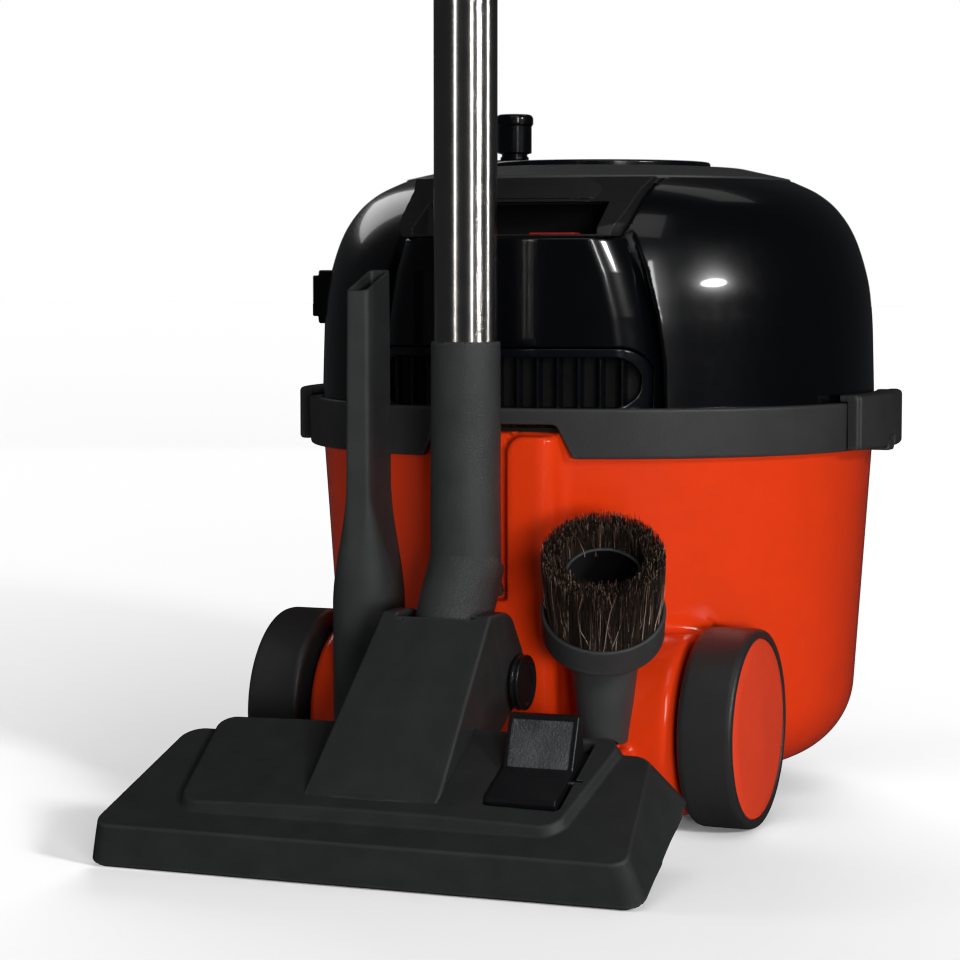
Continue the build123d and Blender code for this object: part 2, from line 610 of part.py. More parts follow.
def tool_roller(side):
    roller = fillet(across(ROLLER_R, 4.4).edges().filter_by(GeomType.CIRCLE), 0.8)
    roller -= Pos(side * -2.0, 0, 0) * across(3.05, 5.0)
    return Pos(side * 33.7, ROLLER_Y, ROLLER_Z) * roller


def strip_carrier():
    """The frame that carries both bristle strips down through the sole when the pedal is pressed."""
    front, rear = STRIP_Y
    bars = span_box((-115, 115), (front - 2.5, front + 2.5), (6.5, 11.5))
    bars += span_box((-115, 115), (rear - 2.5, rear + 2.5), (6.5, 11.5))
    for side in (-1, 1):
        bars += span_box(sorted((side * 107, side * 113)), (front, rear), (9.5, 11.5))
    return bars


def bristle_strip(y):
    return span_box((-114, 114), (y - 2.5, y + 2.5), (0.4, 6.5))


def pedal():
    """A two-sided rocker: its rear half stands up while the bristles are drawn in."""
    top = PLATFORM_TOP
    shape = side_prism([(38, top - 3), (37, top + 0.8), (39, top + 2.6), (63.5, top + 2.2), (82, top + 20.2),
                        (85.5, top + 18.8), (80, top - 2)], PEDAL_X - PEDAL_HALF, PEDAL_X + PEDAL_HALF)
    boss = side_prism([(54, top), (57, PEDAL_Z - 3), (63, PEDAL_Z - 3), (66, top)], PEDAL_X - 16, PEDAL_X + 16)
    return shape + boss - Pos(PEDAL_X, PEDAL_Y, PEDAL_Z) * across(1.55, 50)


def pedal_pin():
    return Pos(PEDAL_X, PEDAL_Y, PEDAL_Z) * across(1.5, 46)


# ---- parked tools --------------------------------------------------------------------------------
def crevice_tool():
    """A round socket that narrows to a flat slanted tip."""
    def section(width, depth, z, corner):
        return Pos(CREVICE_X, CREVICE_Y, z) * RectangleRounded(width, depth, corner)

    outer = extrude(section(37.4, 37.4, PARKED_FOOT, 18.6), 68)
    outer += loft([section(37.4, 37.4, 116, 18.6), section(13.5, 31.0, 172, 2.5)])
    outer += loft([section(13.5, 31.0, 172, 2.5), section(12.0, 30.0, 292, 2.0)])
    inner = extrude(section(32.0, 32.0, PARKED_FOOT - 1, 15.9), 67)
    inner += loft([section(32.0, 32.0, 114, 15.9), section(10.0, 27.5, 174, 1.0)])
    inner += loft([section(10.0, 27.5, 174, 1.0), section(8.8, 26.8, 294, 1.0)])
    slant = Pos(CREVICE_X, CREVICE_Y, 281) * (Rot(20, 0, 0) * Pos(0, 0, 25) * Box(60, 90, 50))
    return outer - inner - slant


def brush_frame():
    """The brush head's placing: its own +Z is the way the bristles point."""
    return Pos(*BRUSH_RIM) * Rot(0, 0, BRUSH_TURN) * Rot(BRUSH_TILT, 0, 0)


def brush_body():
    """The dusting brush's neck and round cup."""
    cup = tube_solid(BRUSH_R, 0, -17, 0) + Pos(0, 0, -21) * Cone(22, BRUSH_R, 8) + Pos(0, 0, -24) * Sphere(17)
    cup -= tube_solid(BRUSH_R - 2.2, 0, -8, 1) + tube_solid(16, 0, -17, 1)
    neck = Pos(BRUSH_X, BRUSH_Y, (PARKED_FOOT + 92) / 2) * Cone(12.3, 17.6, 92 - PARKED_FOOT)
    top = Pos(BRUSH_X, BRUSH_Y, 92) * Sphere(17.6)
    body = neck + top + brush_frame() * cup
    return body - Pos(BRUSH_X, BRUSH_Y, 0) * tube_solid(9.1, 0, 40, 94)


def bristle_ring():
    ring = Pos(0, 0, (BRISTLE_LENGTH - 8) / 2) * (Cone(28.6, 30.6, BRISTLE_LENGTH + 8)
                                                  - Cone(16.2, 18.0, BRISTLE_LENGTH + 8))
    return brush_frame() * ring


# ---- every node ----------------------------------------------------------------------------------
def all_nodes():
    nodes = {
        "tub": tub(), "hose_inlet": hose_inlet(), "collar": collar(),
        "crevice_post": tool_post(CREVICE_X, CREVICE_Y, 12), "brush_post": tool_post(BRUSH_X, BRUSH_Y, 9),
        "filter_ring": filter_ring(), "filter_cloth": filter_cloth(),
        "head_shell": head_shell(), "top_cap": top_cap(), "pocket_liner": pocket_liner(),
        "vent_grille": vent_grille(), "plug_clip": plug_clip(), "cable_bush": cable_bush(),
        "switch_frame": switch_frame(), "power_switch": power_switch(), "motor_plate": motor_plate(),
        "motor_housing": motor_housing(), "motor_screws": motor_screws(), "motor_seal": motor_seal(),
        "exhaust_filter": exhaust_filter(), "motor_rotor": motor_rotor(), "impeller": impeller(),
        "cable_drum": cable_drum(), "winder_disc": winder_disc(), "crank_knob": crank_knob(),
        "wand_tube": wand_tube(), "neck_socket": neck_socket(), "swivel_elbow": swivel_elbow(),
        "tool_cover": placed_tool(tool_cover()), "sole_plate": placed_tool(sole_plate()),
        "neck_housing": placed_tool(neck_housing()), "strip_carrier": placed_tool(strip_carrier()),
        "bristle_strip_front": placed_tool(bristle_strip(STRIP_Y[0])),
        "bristle_strip_rear": placed_tool(bristle_strip(STRIP_Y[1])),
        "tool_pedal": placed_tool(pedal()), "pedal_pin": placed_tool(pedal_pin()),
        "crevice_tool": crevice_tool(), "brush_body": brush_body(), "bristle_ring": bristle_ring(),
    }
    for side, name in ((-1, "left"), (1, "right")):
        nodes["axle_" + name] = stub_axle(side)
        nodes["rear_tyre_" + name] = rear_tyre(side)
        nodes["hub_cap_" + name] = hub_cap(side)
        nodes["castor_fork_" + name] = castor_fork(side)
        nodes["castor_wheel_" + name] = castor_wheel(side)
        nodes["castor_pin_" + name] = castor_pin(side)
        nodes["latch_" + name] = latch(side)
        nodes["latch_pin_" + name] = latch_pin(side)
        nodes["roller_pin_" + name] = placed_tool(roller_pin(side))
        nodes["tool_roller_" + name] = placed_tool(tool_roller(side))
    return nodes


rearmost = tool_point(TOOL_CREASE_IN, TOOL_CREASE)[1]
to_middle = Pos(0, -(rearmost + INLET_FRONT) / 2, 0)
os.makedirs("parts", exist_ok=True)
for node, solid in all_nodes().items():
    export_step(to_middle * solid, "parts/" + node + ".step")
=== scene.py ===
"""The looks of a tub vacuum cleaner with its wand and its tools parked at the rear.

Sizes are in millimetres about the tub's own upright axis: X to the right seen from the rear, Y forwards,
Z up from the floor. A shape is a field, a function that gives each point's distance from the surface,
below zero inside. surface() meshes where a field is zero, and mesh_of() puts the mesh in the row frame.
"""
import json
import random
from math import acos, atan2, cos, hypot, pi, radians, sin, sqrt, tan

import bpy
import numpy as np
from mathutils import Matrix, Vector


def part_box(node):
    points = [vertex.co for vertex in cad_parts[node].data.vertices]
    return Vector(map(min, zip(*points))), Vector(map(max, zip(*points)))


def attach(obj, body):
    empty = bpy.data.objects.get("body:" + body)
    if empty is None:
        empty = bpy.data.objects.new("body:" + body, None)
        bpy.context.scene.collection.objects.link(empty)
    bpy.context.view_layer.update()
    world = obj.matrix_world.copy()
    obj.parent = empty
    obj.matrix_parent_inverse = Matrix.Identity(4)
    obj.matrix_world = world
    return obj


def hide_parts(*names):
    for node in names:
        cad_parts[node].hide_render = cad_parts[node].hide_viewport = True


MM = 0.001
SIDES = ((-1, "left"), (1, "right"))
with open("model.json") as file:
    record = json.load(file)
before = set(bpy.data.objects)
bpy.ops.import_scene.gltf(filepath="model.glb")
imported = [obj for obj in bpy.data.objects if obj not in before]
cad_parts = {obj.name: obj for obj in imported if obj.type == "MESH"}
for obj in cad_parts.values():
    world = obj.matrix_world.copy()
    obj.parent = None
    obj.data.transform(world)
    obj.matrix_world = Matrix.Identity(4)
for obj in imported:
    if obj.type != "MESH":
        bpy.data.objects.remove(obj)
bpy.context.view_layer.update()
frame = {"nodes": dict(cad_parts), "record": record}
scene = bpy.context.scene
disc_low, disc_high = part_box("winder_disc")
TUB_Y = ((disc_low + disc_high) / 2 / MM).y     # the tub's axis in the row frame
MACHINE = Matrix.Translation((0, TUB_Y * MM, 0)) @ Matrix.Scale(MM, 4)

# ---- main sizes, as the CAD model has them -----
TUB_R, TUB_R_Z, TUB_TAPER = 144.8, 54.0, 0.0685
TUB_FLOOR, TUB_TOP, TUB_WALL, TUB_CORNER = 14.0, 203.0, 4.4, 42.0
RIM_R = 155.3
COLUMN_Y, COLUMN_HALF, SLOT_HALF = -163.0, 33.0, 7.5
WHEEL_R, WHEEL_Y, WHEEL_IN, WHEEL_OUT, HUB_R, ARCH_R = 51.4, -127.5, 104.75, 133.5, 46.5, 54.5
LUMP_R, LUMP_IN, LUMP_OUT = 47.0, 85.0, 101.5
CASTOR_X, CASTOR_Y, POCKET_R, POCKET_TOP = 62.0, 70.0, 32.0, 41.0
INLET_Z, INLET_R = 120.0, 27.0
SEAT_Z, SEAT_LENGTH, SEAT_LEAN = 117.0, 15.0, radians(30.0)
COLLAR_R, COLLAR_BOTTOM, COLLAR_TOP, NOTCH_TOP, NOTCH_HALF = 162.6, 189.4, 215.4, 207.0, 33.0
LATCH_R, LATCH_BOTTOM, LATCH_TOP, LATCH_SPAN = 170.4, 190.3, 219.5, radians(16.0)
HINGE_X, HINGE_Z = 167.0, 191.5
HEAD_BOTTOM, CAP_R, CAP_EDGE_Z, CAP_TOP = 205.4, 108.0, 335.5, 343.0
HEAD_HOLLOW_R, HEAD_HOLLOW_TOP = 100.0, 318.0
HEAD_SEAT_R = 156.0     # the collar's bore round the head's foot
REAR_Y = -60.0          # the details of the head's rear are behind this
PANEL_R, PANEL_TOP = 157.0, 303.0
SWITCH_X, SWITCH_Y, SWITCH_Z = 27.0, -143.0, 300.5
WINDER_R, WINDER_TOP = 63.0, 346.0
KNOB_X, KNOB_Y, KNOB_R, KNOB_TOP = -43.6, -17.6, 10.5, 373.0
WAND_Y, WAND_R, WAND_BOTTOM, WAND_TOP = -199.0, 16.0, 200.0, 675.0
SOCKET_R, SOCKET_BOTTOM, SOCKET_TOP, SLEEVE_BOTTOM = 17.9, 150.0, 250.5, 128.0
SPIGOT_R, SPIGOT_TOP, SPIGOT_BORE = 14.0, 180.0, 12.0
ELBOW_R, ELBOW_LENGTH, ELBOW_RUN_Y, ELBOW_RUN_Z = 19.2, 59.0, 31.0, 45.9
TOOL_FRONT_Y, TOOL_TILT = -338.0, radians(25.0)
TOOL_HALF, TOOL_DEPTH, CREASE, PLATFORM = 140.5, 90.0, 22.0, 27.0
NOD_Y, NOD_Z, ROLLER_Y, ROLLER_Z, ROLLER_R = 136.0, 36.0, 153.5, 17.3, 14.0  # in the tool's frame
CREVICE_X, CREVICE_Y = -64.0, -175.0
BRUSH_X, BRUSH_Y = 66.0, -175.0
BRUSH_RIM, BRUSH_TILT, BRUSH_TURN = (72.5, -195.5, 118.0), radians(38.0), radians(19.0)
BRUSH_R, BRISTLE_LENGTH, SLEEVE_R, SLEEVE_TOP = 31.3, 37.0, 20.0, 23.5

TOOL = MACHINE @ Matrix.Translation((0, TOOL_FRONT_Y, 0)) @ Matrix.Rotation(TOOL_TILT, 4, "X")
BRUSH = (MACHINE @ Matrix.Translation(BRUSH_RIM) @ Matrix.Rotation(BRUSH_TURN, 4, "Z")
         @ Matrix.Rotation(BRUSH_TILT, 4, "X"))


# ---- fields ------------------------------------
meet, join = np.maximum, np.minimum     # both() and either() with sharp edges


def both(a, b, r=1.0):
    """What two fields share, with the edge between them rounded by r."""
    corner = np.sqrt(meet(a + r, 0) ** 2 + meet(b + r, 0) ** 2)
    return join(-r, meet(a, b)) + corner


def either(a, b, r=1.0):
    """Two fields joined, with a fillet of r between them."""
    corner = np.sqrt(meet(r - a, 0) ** 2 + meet(r - b, 0) ** 2)
    return meet(r, join(a, b)) - corner


def without(a, b, r=1.0):
    return both(a, -b, r)


def slab(v, low, high):
    return np.abs(v - (low + high) / 2) - (high - low) / 2


def block(x, y, z, low, high, r=1.0):
    """A box with all its edges rounded by r."""
    out = [np.abs(v - (a + b) / 2) - (b - a) / 2 + r for v, a, b in zip((x, y, z), low, high)]
    far = np.sqrt(sum(meet(o, 0) ** 2 for o in out))
    return far + join(meet(meet(out[0], out[1]), out[2]), 0) - r


def rod(u, v, w, radius, low, high, r=1.0):
    """A cylinder of that radius in u and v, from low to high along w."""
    return both(np.hypot(u, v) - radius, slab(w, low, high), r)


def bored(field, u, v, radius, rest, r=0.3):
    """A field with a round hole of that radius in u and v, where rest is below zero."""
    return without(field, meet(np.hypot(u, v) - radius, rest), r)


def outline(u, v, points):
    """Distance from a closed outline of straight runs in a plane."""
    near, inside = np.inf, False
    for (au, av), (bu, bv) in zip(points, points[1:] + points[:1]):
        eu, ev = bu - au, bv - av
        t = np.clip(((u - au) * eu + (v - av) * ev) / (eu * eu + ev * ev), 0, 1)
        near = join(near, (u - au - eu * t) ** 2 + (v - av - ev * t) ** 2)
        if ev:
            inside = inside ^ (((av <= v) != (bv <= v)) & (u < au + (v - av) / ev * eu))
    return np.where(inside, -1, 1) * np.sqrt(near)


def smooth_step(v, low, high):
    t = np.clip((v - low) / (high - low), 0, 1)
    return t * t * (3 - 2 * t)


def curve(points, count=160):
    """A smooth curve through (height, radius) points, as two tables."""
    p = [(2 * points[0][0] - points[1][0], 2 * points[0][1] - points[1][1]), *points]
    p.append((2 * points[-1][0] - points[-2][0], 2 * points[-1][1] - points[-2][1]))
    t = np.linspace(0, 1, count, endpoint=False)[:, None]
    runs = []
    for a, b, c, d in zip(p, p[1:], p[2:], p[3:]):
        a, b, c, d = (np.array(q, float) for q in (a, b, c, d))
        square, cube = a - 2.5 * b + 2 * c - d / 2, 1.5 * (b - c) + (d - a) / 2
        runs.append(b + t * (c - a) / 2 + t * t * square + t ** 3 * cube)
    table = np.vstack([*runs, [points[-1]]])
    return table[:, 0], table[:, 1]


# ---- meshing -----------------------------------
BLOCK = 8           # cells along one side of a block
NEAR = 1.35         # a block is filled in when its middle is nearer to the surface than this many sides


def slope(field, points, step):
    """The field's gradient at each point."""
    parts = []
    for axis in range(3):
        shift = np.zeros(3)
        shift[axis] = step
        parts.append((field(*(points + shift).T) - field(*(points - shift).T)) / (2 * step))
    return np.stack(parts, -1)


def surface(field, low, high, cell):
    """Points, normals and four-sided faces where the field is zero, by surface nets.

    Only blocks of cells near the surface are filled in. Each point then moves along the gradient until
    it lies on the surface.
    """
    low = np.array(low, float)
    counts = np.ceil((np.array(high, float) - low) / (cell * BLOCK)).astype(int) + 1
    firsts = [np.arange(n) * BLOCK for n in counts]
    starts = np.stack(np.meshgrid(*firsts, indexing="ij"), -1).reshape(-1, 3)
    middles = low + (starts + BLOCK / 2) * cell
    starts = starts[np.abs(field(*middles.T)) < NEAR * BLOCK * cell]
    wide = (counts * BLOCK + 2).astype(np.int64)
    steps = np.arange(BLOCK + 1)
    found_cells, found_points, found_edges = [], [], [[], [], []]
    for group in np.array_split(starts, max(1, len(starts) // 600)):
        index = group[:, :, None] + steps
        x, y, z = (low[a] + index[:, a] * cell for a in range(3))
        value = field(x[:, :, None, None], y[:, None, :, None], z[:, None, None, :])
        value = np.broadcast_to(value, (len(group),) + (BLOCK + 1,) * 3)
        corners = {(i, j, k): value[:, i:BLOCK + i, j:BLOCK + j, k:BLOCK + k]
                   for i in (0, 1) for j in (0, 1) for k in (0, 1)}
        inside = sum((c < 0).astype(np.int8) for c in corners.values())
        b, i, j, k = np.nonzero((inside > 0) & (inside < 8))
        at = {c: v[b, i, j, k] for c, v in corners.items()}
        total, hits = np.zeros((len(b), 3)), np.zeros(len(b))
        for c, va in at.items():
            for axis in range(3):
                if c[axis]:
                    continue
                end = tuple(c[a] + (a == axis) for a in range(3))
                vb = at[end]
                cross = (va < 0) != (vb < 0)
                t = np.where(cross, va / np.where(cross, va - vb, 1), 0)
                point = np.tile(np.array(c, float), (len(b), 1))
                point[:, axis] += t
                total += point * cross[:, None]
                hits += cross
        cells = group[b] + np.stack((i, j, k), -1)
        found_cells.append(cells)
        found_points.append(low + (cells + total / hits[:, None]) * cell)
        for axis in range(3):
            end = tuple(int(a == axis) for a in range(3))
            cross = (at[0, 0, 0] < 0) != (at[end] < 0)
            found_edges[axis].append(np.c_[cells[cross], at[0, 0, 0][cross] < 0])
    cells, points = np.vstack(found_cells), np.vstack(found_points)

    def key(c):
        return (c[:, 0] * wide[1] + c[:, 1]) * wide[2] + c[:, 2]

    keys = key(cells.astype(np.int64))
    order = np.argsort(keys)
    keys, points = keys[order], points[order]
    faces = []
    for axis in range(3):
        edge = np.vstack(found_edges[axis]).astype(np.int64)
        one, two = np.eye(3, dtype=np.int64)[[(axis + 1) % 3, (axis + 2) % 3]]
        quad = []
        for shift in (0 * one, one, one + two, two):
            wanted = key(edge[:, :3] - shift)
            found = np.minimum(np.searchsorted(keys, wanted), len(keys) - 1)
            quad.append(np.where(keys[found] == wanted, found, -1))
        quad = np.stack(quad, -1)
        flip = edge[:, 3] == 0
        quad[flip] = quad[flip][:, ::-1]
        faces.append(quad[(quad >= 0).all(1)])
    for _ in range(3):
        g = slope(field, points, cell * 0.1)
        move = -field(*points.T)[:, None] * g / np.maximum((g * g).sum(1, keepdims=True), 0.05)
        length = np.linalg.norm(move, axis=1, keepdims=True)
        points = points + move * np.minimum(1, 0.4 * cell / np.maximum(length, 1e-9))
    normal = slope(field, points, cell * 0.15)
    normal /= np.maximum(np.linalg.norm(normal, axis=1, keepdims=True), 1e-9)
    return points, normal, np.vstack(faces)


def mesh_of(name, points, faces, normals=None, matrix=MACHINE):
    """A Blender mesh from arrays, moved into the row frame."""
    m = np.array(matrix)
    placed = points @ m[:3, :3].T + m[:3, 3]
    mesh = bpy.data.meshes.new(name)
    mesh.vertices.add(len(placed))
    mesh.vertices.foreach_set("co", placed.astype(np.float32).ravel())
    sides = faces.shape[1]
    mesh.loops.add(faces.size)
    mesh.loops.foreach_set("vertex_index", faces.astype(np.int32).ravel())
    mesh.polygons.add(len(faces))
    mesh.polygons.foreach_set("loop_start", np.arange(0, faces.size, sides, dtype=np.int32))
    mesh.polygons.foreach_set("loop_total", np.full(len(faces), sides, np.int32))
    mesh.polygons.foreach_set("use_smooth", np.ones(len(faces), bool))
    mesh.update(calc_edges=True)
    mesh.validate()
    if normals is not None:
        facing = normals @ (m[:3, :3] / np.linalg.norm(m[:3, 0])).T
        mesh.normals_split_custom_set_from_vertices(facing.astype(np.float32))
    return mesh


def placed(name, data):
    """A new object, linked to the scene."""
    thing = bpy.data.objects.new(name, data)
    scene.collection.objects.link(thing)
    return thing


def add(name, mesh, body, slot, *replaced, look=None):
    """Adds a piece that rides on a body and stands for the CAD nodes it replaces."""
    piece = placed(name, mesh)
    mesh.materials.append(look or CAD_LOOKS[slot])
    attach(piece, body)
    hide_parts(*replaced)
    return piece


def moulded(name, field, low, high, cell, body, slot, *replaced, look=None, matrix=MACHINE):
    """A piece meshed from its field."""
    points, normals, faces = surface(field, low, high, cell)
    mesh = mesh_of(name, points, faces, normals, matrix)
    return add(name, mesh, body, slot, *replaced, look=look)


def filleted(points, radii, steps=6):
    """A closed outline with its corners turned into arcs; radii has one entry for each point."""
    done = []
    for i, (p, r) in enumerate(zip(points, radii)):
        p = np.array(p, float)
        if not r:
            done.append(tuple(p))
            continue
        before, after = np.array(points[i - 1], float), np.array(points[(i + 1) % len(points)], float)
        u, v = before - p, after - p
        u, v = u / np.linalg.norm(u), v / np.linalg.norm(v)
        half = acos(max(-1, min(1, float(u @ v)))) / 2
        reach = min(r / tan(half), 0.49 * np.linalg.norm(before - p), 0.49 * np.linalg.norm(after - p))
        radius = reach * tan(half)
        middle = p + (u + v) / np.linalg.norm(u + v) * radius / sin(half)
        start, end = p + u * reach - middle, p + v * reach - middle
        for k in range(steps + 1):
            t = k / steps
            turn = pi - 2 * half
            w = (sin((1 - t) * turn) * start + sin(t * turn) * end) / sin(turn)
            done.append(tuple(middle + w))
    return done


def turned(name, points, radii, body, slot, *replaced, look=None, matrix=MACHINE, sides=96):
    """A piece turned on a lathe about the matrix's Z from a closed outline of (radius, height)."""
    ring = np.array(filleted(points, radii))
    angle = np.arange(sides) * 2 * pi / sides
    at = np.stack([np.outer(np.cos(angle), ring[:, 0]), np.outer(np.sin(angle), ring[:, 0]),
                   np.tile(ring[:, 1], (sides, 1))], -1).reshape(-1, 3)
    n = len(ring)
    i, j = (v.ravel() for v in np.meshgrid(np.arange(sides), np.arange(n), indexing="ij"))
    i2, j2 = (i + 1) % sides, (j + 1) % n
    faces = np.stack([i * n + j, i2 * n + j, i2 * n + j2, i * n + j2], -1)
    mesh = mesh_of(name, at, faces, matrix=matrix)
    mesh.set_sharp_from_angle(angle=radians(35))
    piece = add(name, mesh, body, slot, *replaced, look=look)
    weld = piece.modifiers.new("weld", "WELD")
    weld.merge_threshold = 1e-6
    piece.modifiers.new("shade", "WEIGHTED_NORMAL").keep_sharp = True
    return piece


# ---- materials ---------------------------------
def node(tree, kind, output, data_type=None, **inputs):
    """Adds a shader node, sets or links its inputs, and gives one of its outputs."""
    made = tree.nodes.new("ShaderNode" + kind)
    if data_type:
        made.data_type = data_type
    for key, value in inputs.items():
        socket = made.inputs[key.replace("_", " ")]
        if isinstance(value, bpy.types.NodeSocket):
            tree.links.new(value, socket)
        else:
            socket.default_value = value
    return made.outputs[output]


def noise(tree, scale, detail=2.0, stretch=(1, 1, 1), rough=0.5):
    """A noise texture on the piece's own coordinates, in metres."""
    place = node(tree, "TexCoord", "Object")
    place = node(tree, "Mapping", "Vector", Vector=place, Scale=stretch)
    return node(tree, "TexNoise", "Fac", Vector=place, Scale=scale, Detail=detail, Roughness=rough)


def ranged(tree, value, low, high, start=0.3, end=0.7):
    """value, spread from start-end to low-high."""
    return node(tree, "MapRange", "Result", Value=value,
                From_Min=start, From_Max=end, To_Min=low, To_Max=high)


def mixed(tree, factor, a, b):
    """From a to b as factor goes from 0 to 1; each is a colour or a socket."""
    return node(tree, "Mix", "Result", "RGBA", Factor=factor, A=a, B=b)


def shade(color, k):
    return tuple(min(1.0, c * k) for c in color)


def bump(tree, height, distance, strength, before=None):
    """A bump of that depth in millimetres, on top of another one."""
    under = {"Normal": before} if before else {}
    return node(tree, "Bump", "Normal", Height=height, Distance=distance * MM, Strength=strength, **under)


def plastic(name, color, rough, spread=0.04, grain=0.0, grain_scale=1500, wave=0.0, wave_scale=28,
            mottle=0.06, metallic=0.0, coat=0.0, specular=0.5, wear=0.0):
    """Moulded plastic: mottled colour, uneven gloss, eroded grain and the slow waves of a moulding."""
    material = bpy.data.materials.new(name)
    material.use_nodes = True
    tree = material.node_tree
    shader = tree.nodes["Principled BSDF"]
    for key, value in (("Metallic", metallic), ("Coat Weight", coat), ("Coat Roughness", 0.055),
                       ("Specular IOR Level", specular)):
        shader.inputs[key].default_value = value
    cloud = ranged(tree, noise(tree, 60, 4), 0, 1)
    tone = mixed(tree, cloud, (*shade(color, 1 - mottle), 1), (*shade(color, 1 + mottle), 1))
    if wear:
        edge = ranged(tree, node(tree, "NewGeometry", "Pointiness"), 0, wear, 0.52, 0.6)
        tone = mixed(tree, edge, tone, (*[min(1, c * 2 + 0.05) for c in color], 1))
    tree.links.new(tone, shader.inputs["Base Color"])
    uneven = ranged(tree, noise(tree, 140, 5, rough=0.65), rough - spread, rough + spread)
    tree.links.new(uneven, shader.inputs["Roughness"])
    normal = None
    if wave:
        normal = bump(tree, noise(tree, wave_scale, 1), 1.0, wave)
    if grain:
        normal = bump(tree, noise(tree, grain_scale, 2, rough=0.6), 0.25, grain, normal)
    if normal:
        tree.links.new(normal, shader.inputs["Normal"])
    return material


def brushed(name, color, rough, across, along, strength, stretch=0.0):
    """Polished metal with fine lines; across and along scale the noise in X/Y and in Z."""
    material = plastic(name, color, rough, spread=0.03, metallic=1.0, mottle=0.05)
    tree = material.node_tree
    shader = tree.nodes["Principled BSDF"]
    lines = noise(tree, 1, 3, (across, across, along), 0.7)
    tree.links.new(bump(tree, lines, 0.02, strength), shader.inputs["Normal"])
    if stretch:
        shader.inputs["Anisotropic"].default_value = stretch
        shader.inputs["Anisotropic Rotation"].default_value = 0.25
        around = tree.nodes.new("ShaderNodeTangent")
        around.direction_type = "RADIAL"
        around.axis = "Z"
        tree.links.new(around.outputs["Tangent"], shader.inputs["Tangent"])
    return material


RED = (0.74, 0.042, 0.005)
BLACK = (0.0012, 0.0014, 0.0020)
GREY = (0.022, 0.0222, 0.0226)
TOOL_GREY = (0.0225, 0.0236, 0.0236)

red_gloss = plastic("red_gloss", RED, 0.17, 0.03, wave=0.05, wave_scale=22, mottle=0.03)
hub_red = plastic("hub_red", (0.86, 0.062, 0.018), 0.36, 0.04, grain=0.04, mottle=0.03)
switch_red = plastic("switch_red", (0.36, 0.012, 0.008), 0.25, 0.03, mottle=0.04)

black_gloss = plastic("black_gloss", BLACK, 0.23, 0.02, wave=0.035, wave_scale=18, mottle=0.1,
                      coat=0.6, specular=0.3)
satin_black = plastic("satin_black", shade(BLACK, 2.0), 0.20, 0.04, grain=0.03, mottle=0.1)
pedal_black = plastic("pedal_black", (0.007, 0.007, 0.008), 0.20, 0.03, grain=0.05)
# The tread is a real grained face; its grey, lighter than the pedal's black, is partly painted light on
# this upward face.
pedal_tread_painted_light = plastic("pedal_tread_painted_light", (0.050, 0.051, 0.053), 0.30, 0.1,
                      grain=4.0, grain_scale=900, mottle=0.5)
tyre_black = plastic("tyre_black", (0.024, 0.024, 0.024), 0.36, 0.06, grain=0.7, grain_scale=1300, wear=0.2)
soft_black = plastic("soft_black", (0.008, 0.008, 0.008), 0.6, 0.05, grain=0.1)
# Painted shade: a near-black matt material put inside hollows and behind the grille, where only shade
# falls.
painted_shade_black = plastic("painted_shade_black", (0.001, 0.001, 0.001), 0.9, mottle=0.1)

collar_grey = plastic("collar_grey", shade(GREY, 1.3), 0.48, 0.06, grain=0.5, mottle=0.1, wear=0.25)
surround_grey = plastic("surround_grey", shade(GREY, 0.62), 0.42, 0.05, grain=0.3)
cap_grey = plastic("cap_grey", shade(GREY, 1.9), 0.50, 0.05, grain=0.12, grain_scale=2000)
inner_grey = plastic("inner_grey", (0.012, 0.012, 0.013), 0.5, 0.05, grain=0.1)
tool_grey = plastic("tool_grey", TOOL_GREY, 0.46, 0.06, grain=0.8, grain_scale=2200, mottle=0.12,
                    specular=0.35, wear=0.35)
socket_grey = plastic("socket_grey", shade(TOOL_GREY, 1.4), 0.46, 0.06, grain=1.6, mottle=0.12, wear=0.2)
elbow_grey = plastic("elbow_grey", shade(TOOL_GREY, 1.6), 0.34, 0.08, grain=3.0, grain_scale=1250,
                     mottle=0.12)
brush_grey = plastic("brush_grey", shade(TOOL_GREY, 1.6), 0.48, 0.06, grain=0.8, grain_scale=2200,
                     mottle=0.12)

stainless = brushed("stainless", (0.62, 0.60, 0.57), 0.24, 1800, 6, 0.3, 0.85)
steel = brushed("steel", (0.55, 0.55, 0.56), 0.28, 900, 900, 0.2)
foam = plastic("foam", (0.004, 0.004, 0.004), 0.9, 0.05, grain=1.0, grain_scale=700, mottle=0.3)
cloth = plastic("cloth", (0.60, 0.58, 0.53), 0.9, 0.05, grain=0.8, grain_scale=900, mottle=0.08)

CAD_LOOKS = {
    "red_gloss": red_gloss, "hub_red": hub_red, "black_gloss": black_gloss, "grille_black": satin_black,
    "collar_grey": collar_grey, "winder_black": satin_black, "tyre_black": tyre_black,
    "castor_grey": soft_black, "castor_fork_black": inner_grey, "stainless": stainless,
    "pin_steel": steel, "sole_steel": steel, "socket_grey": socket_grey, "tool_grey": tool_grey,
    "pedal_black": pedal_black, "switch_red": switch_red, "inner_grey": inner_grey,
    "soft_black": soft_black, "foam_grey": foam, "filter_white": cloth, "motor_metal": steel,
    "fan_metal": steel, "rotor_steel": steel, "bristle_dark": soft_black, "strip_bristle": soft_black,
}
for part in frame["record"]["subparts"]:
    mesh = frame["nodes"][part["node"]].data
    mesh.materials.clear()
    mesh.materials.append(CAD_LOOKS[part["material_slot"]])


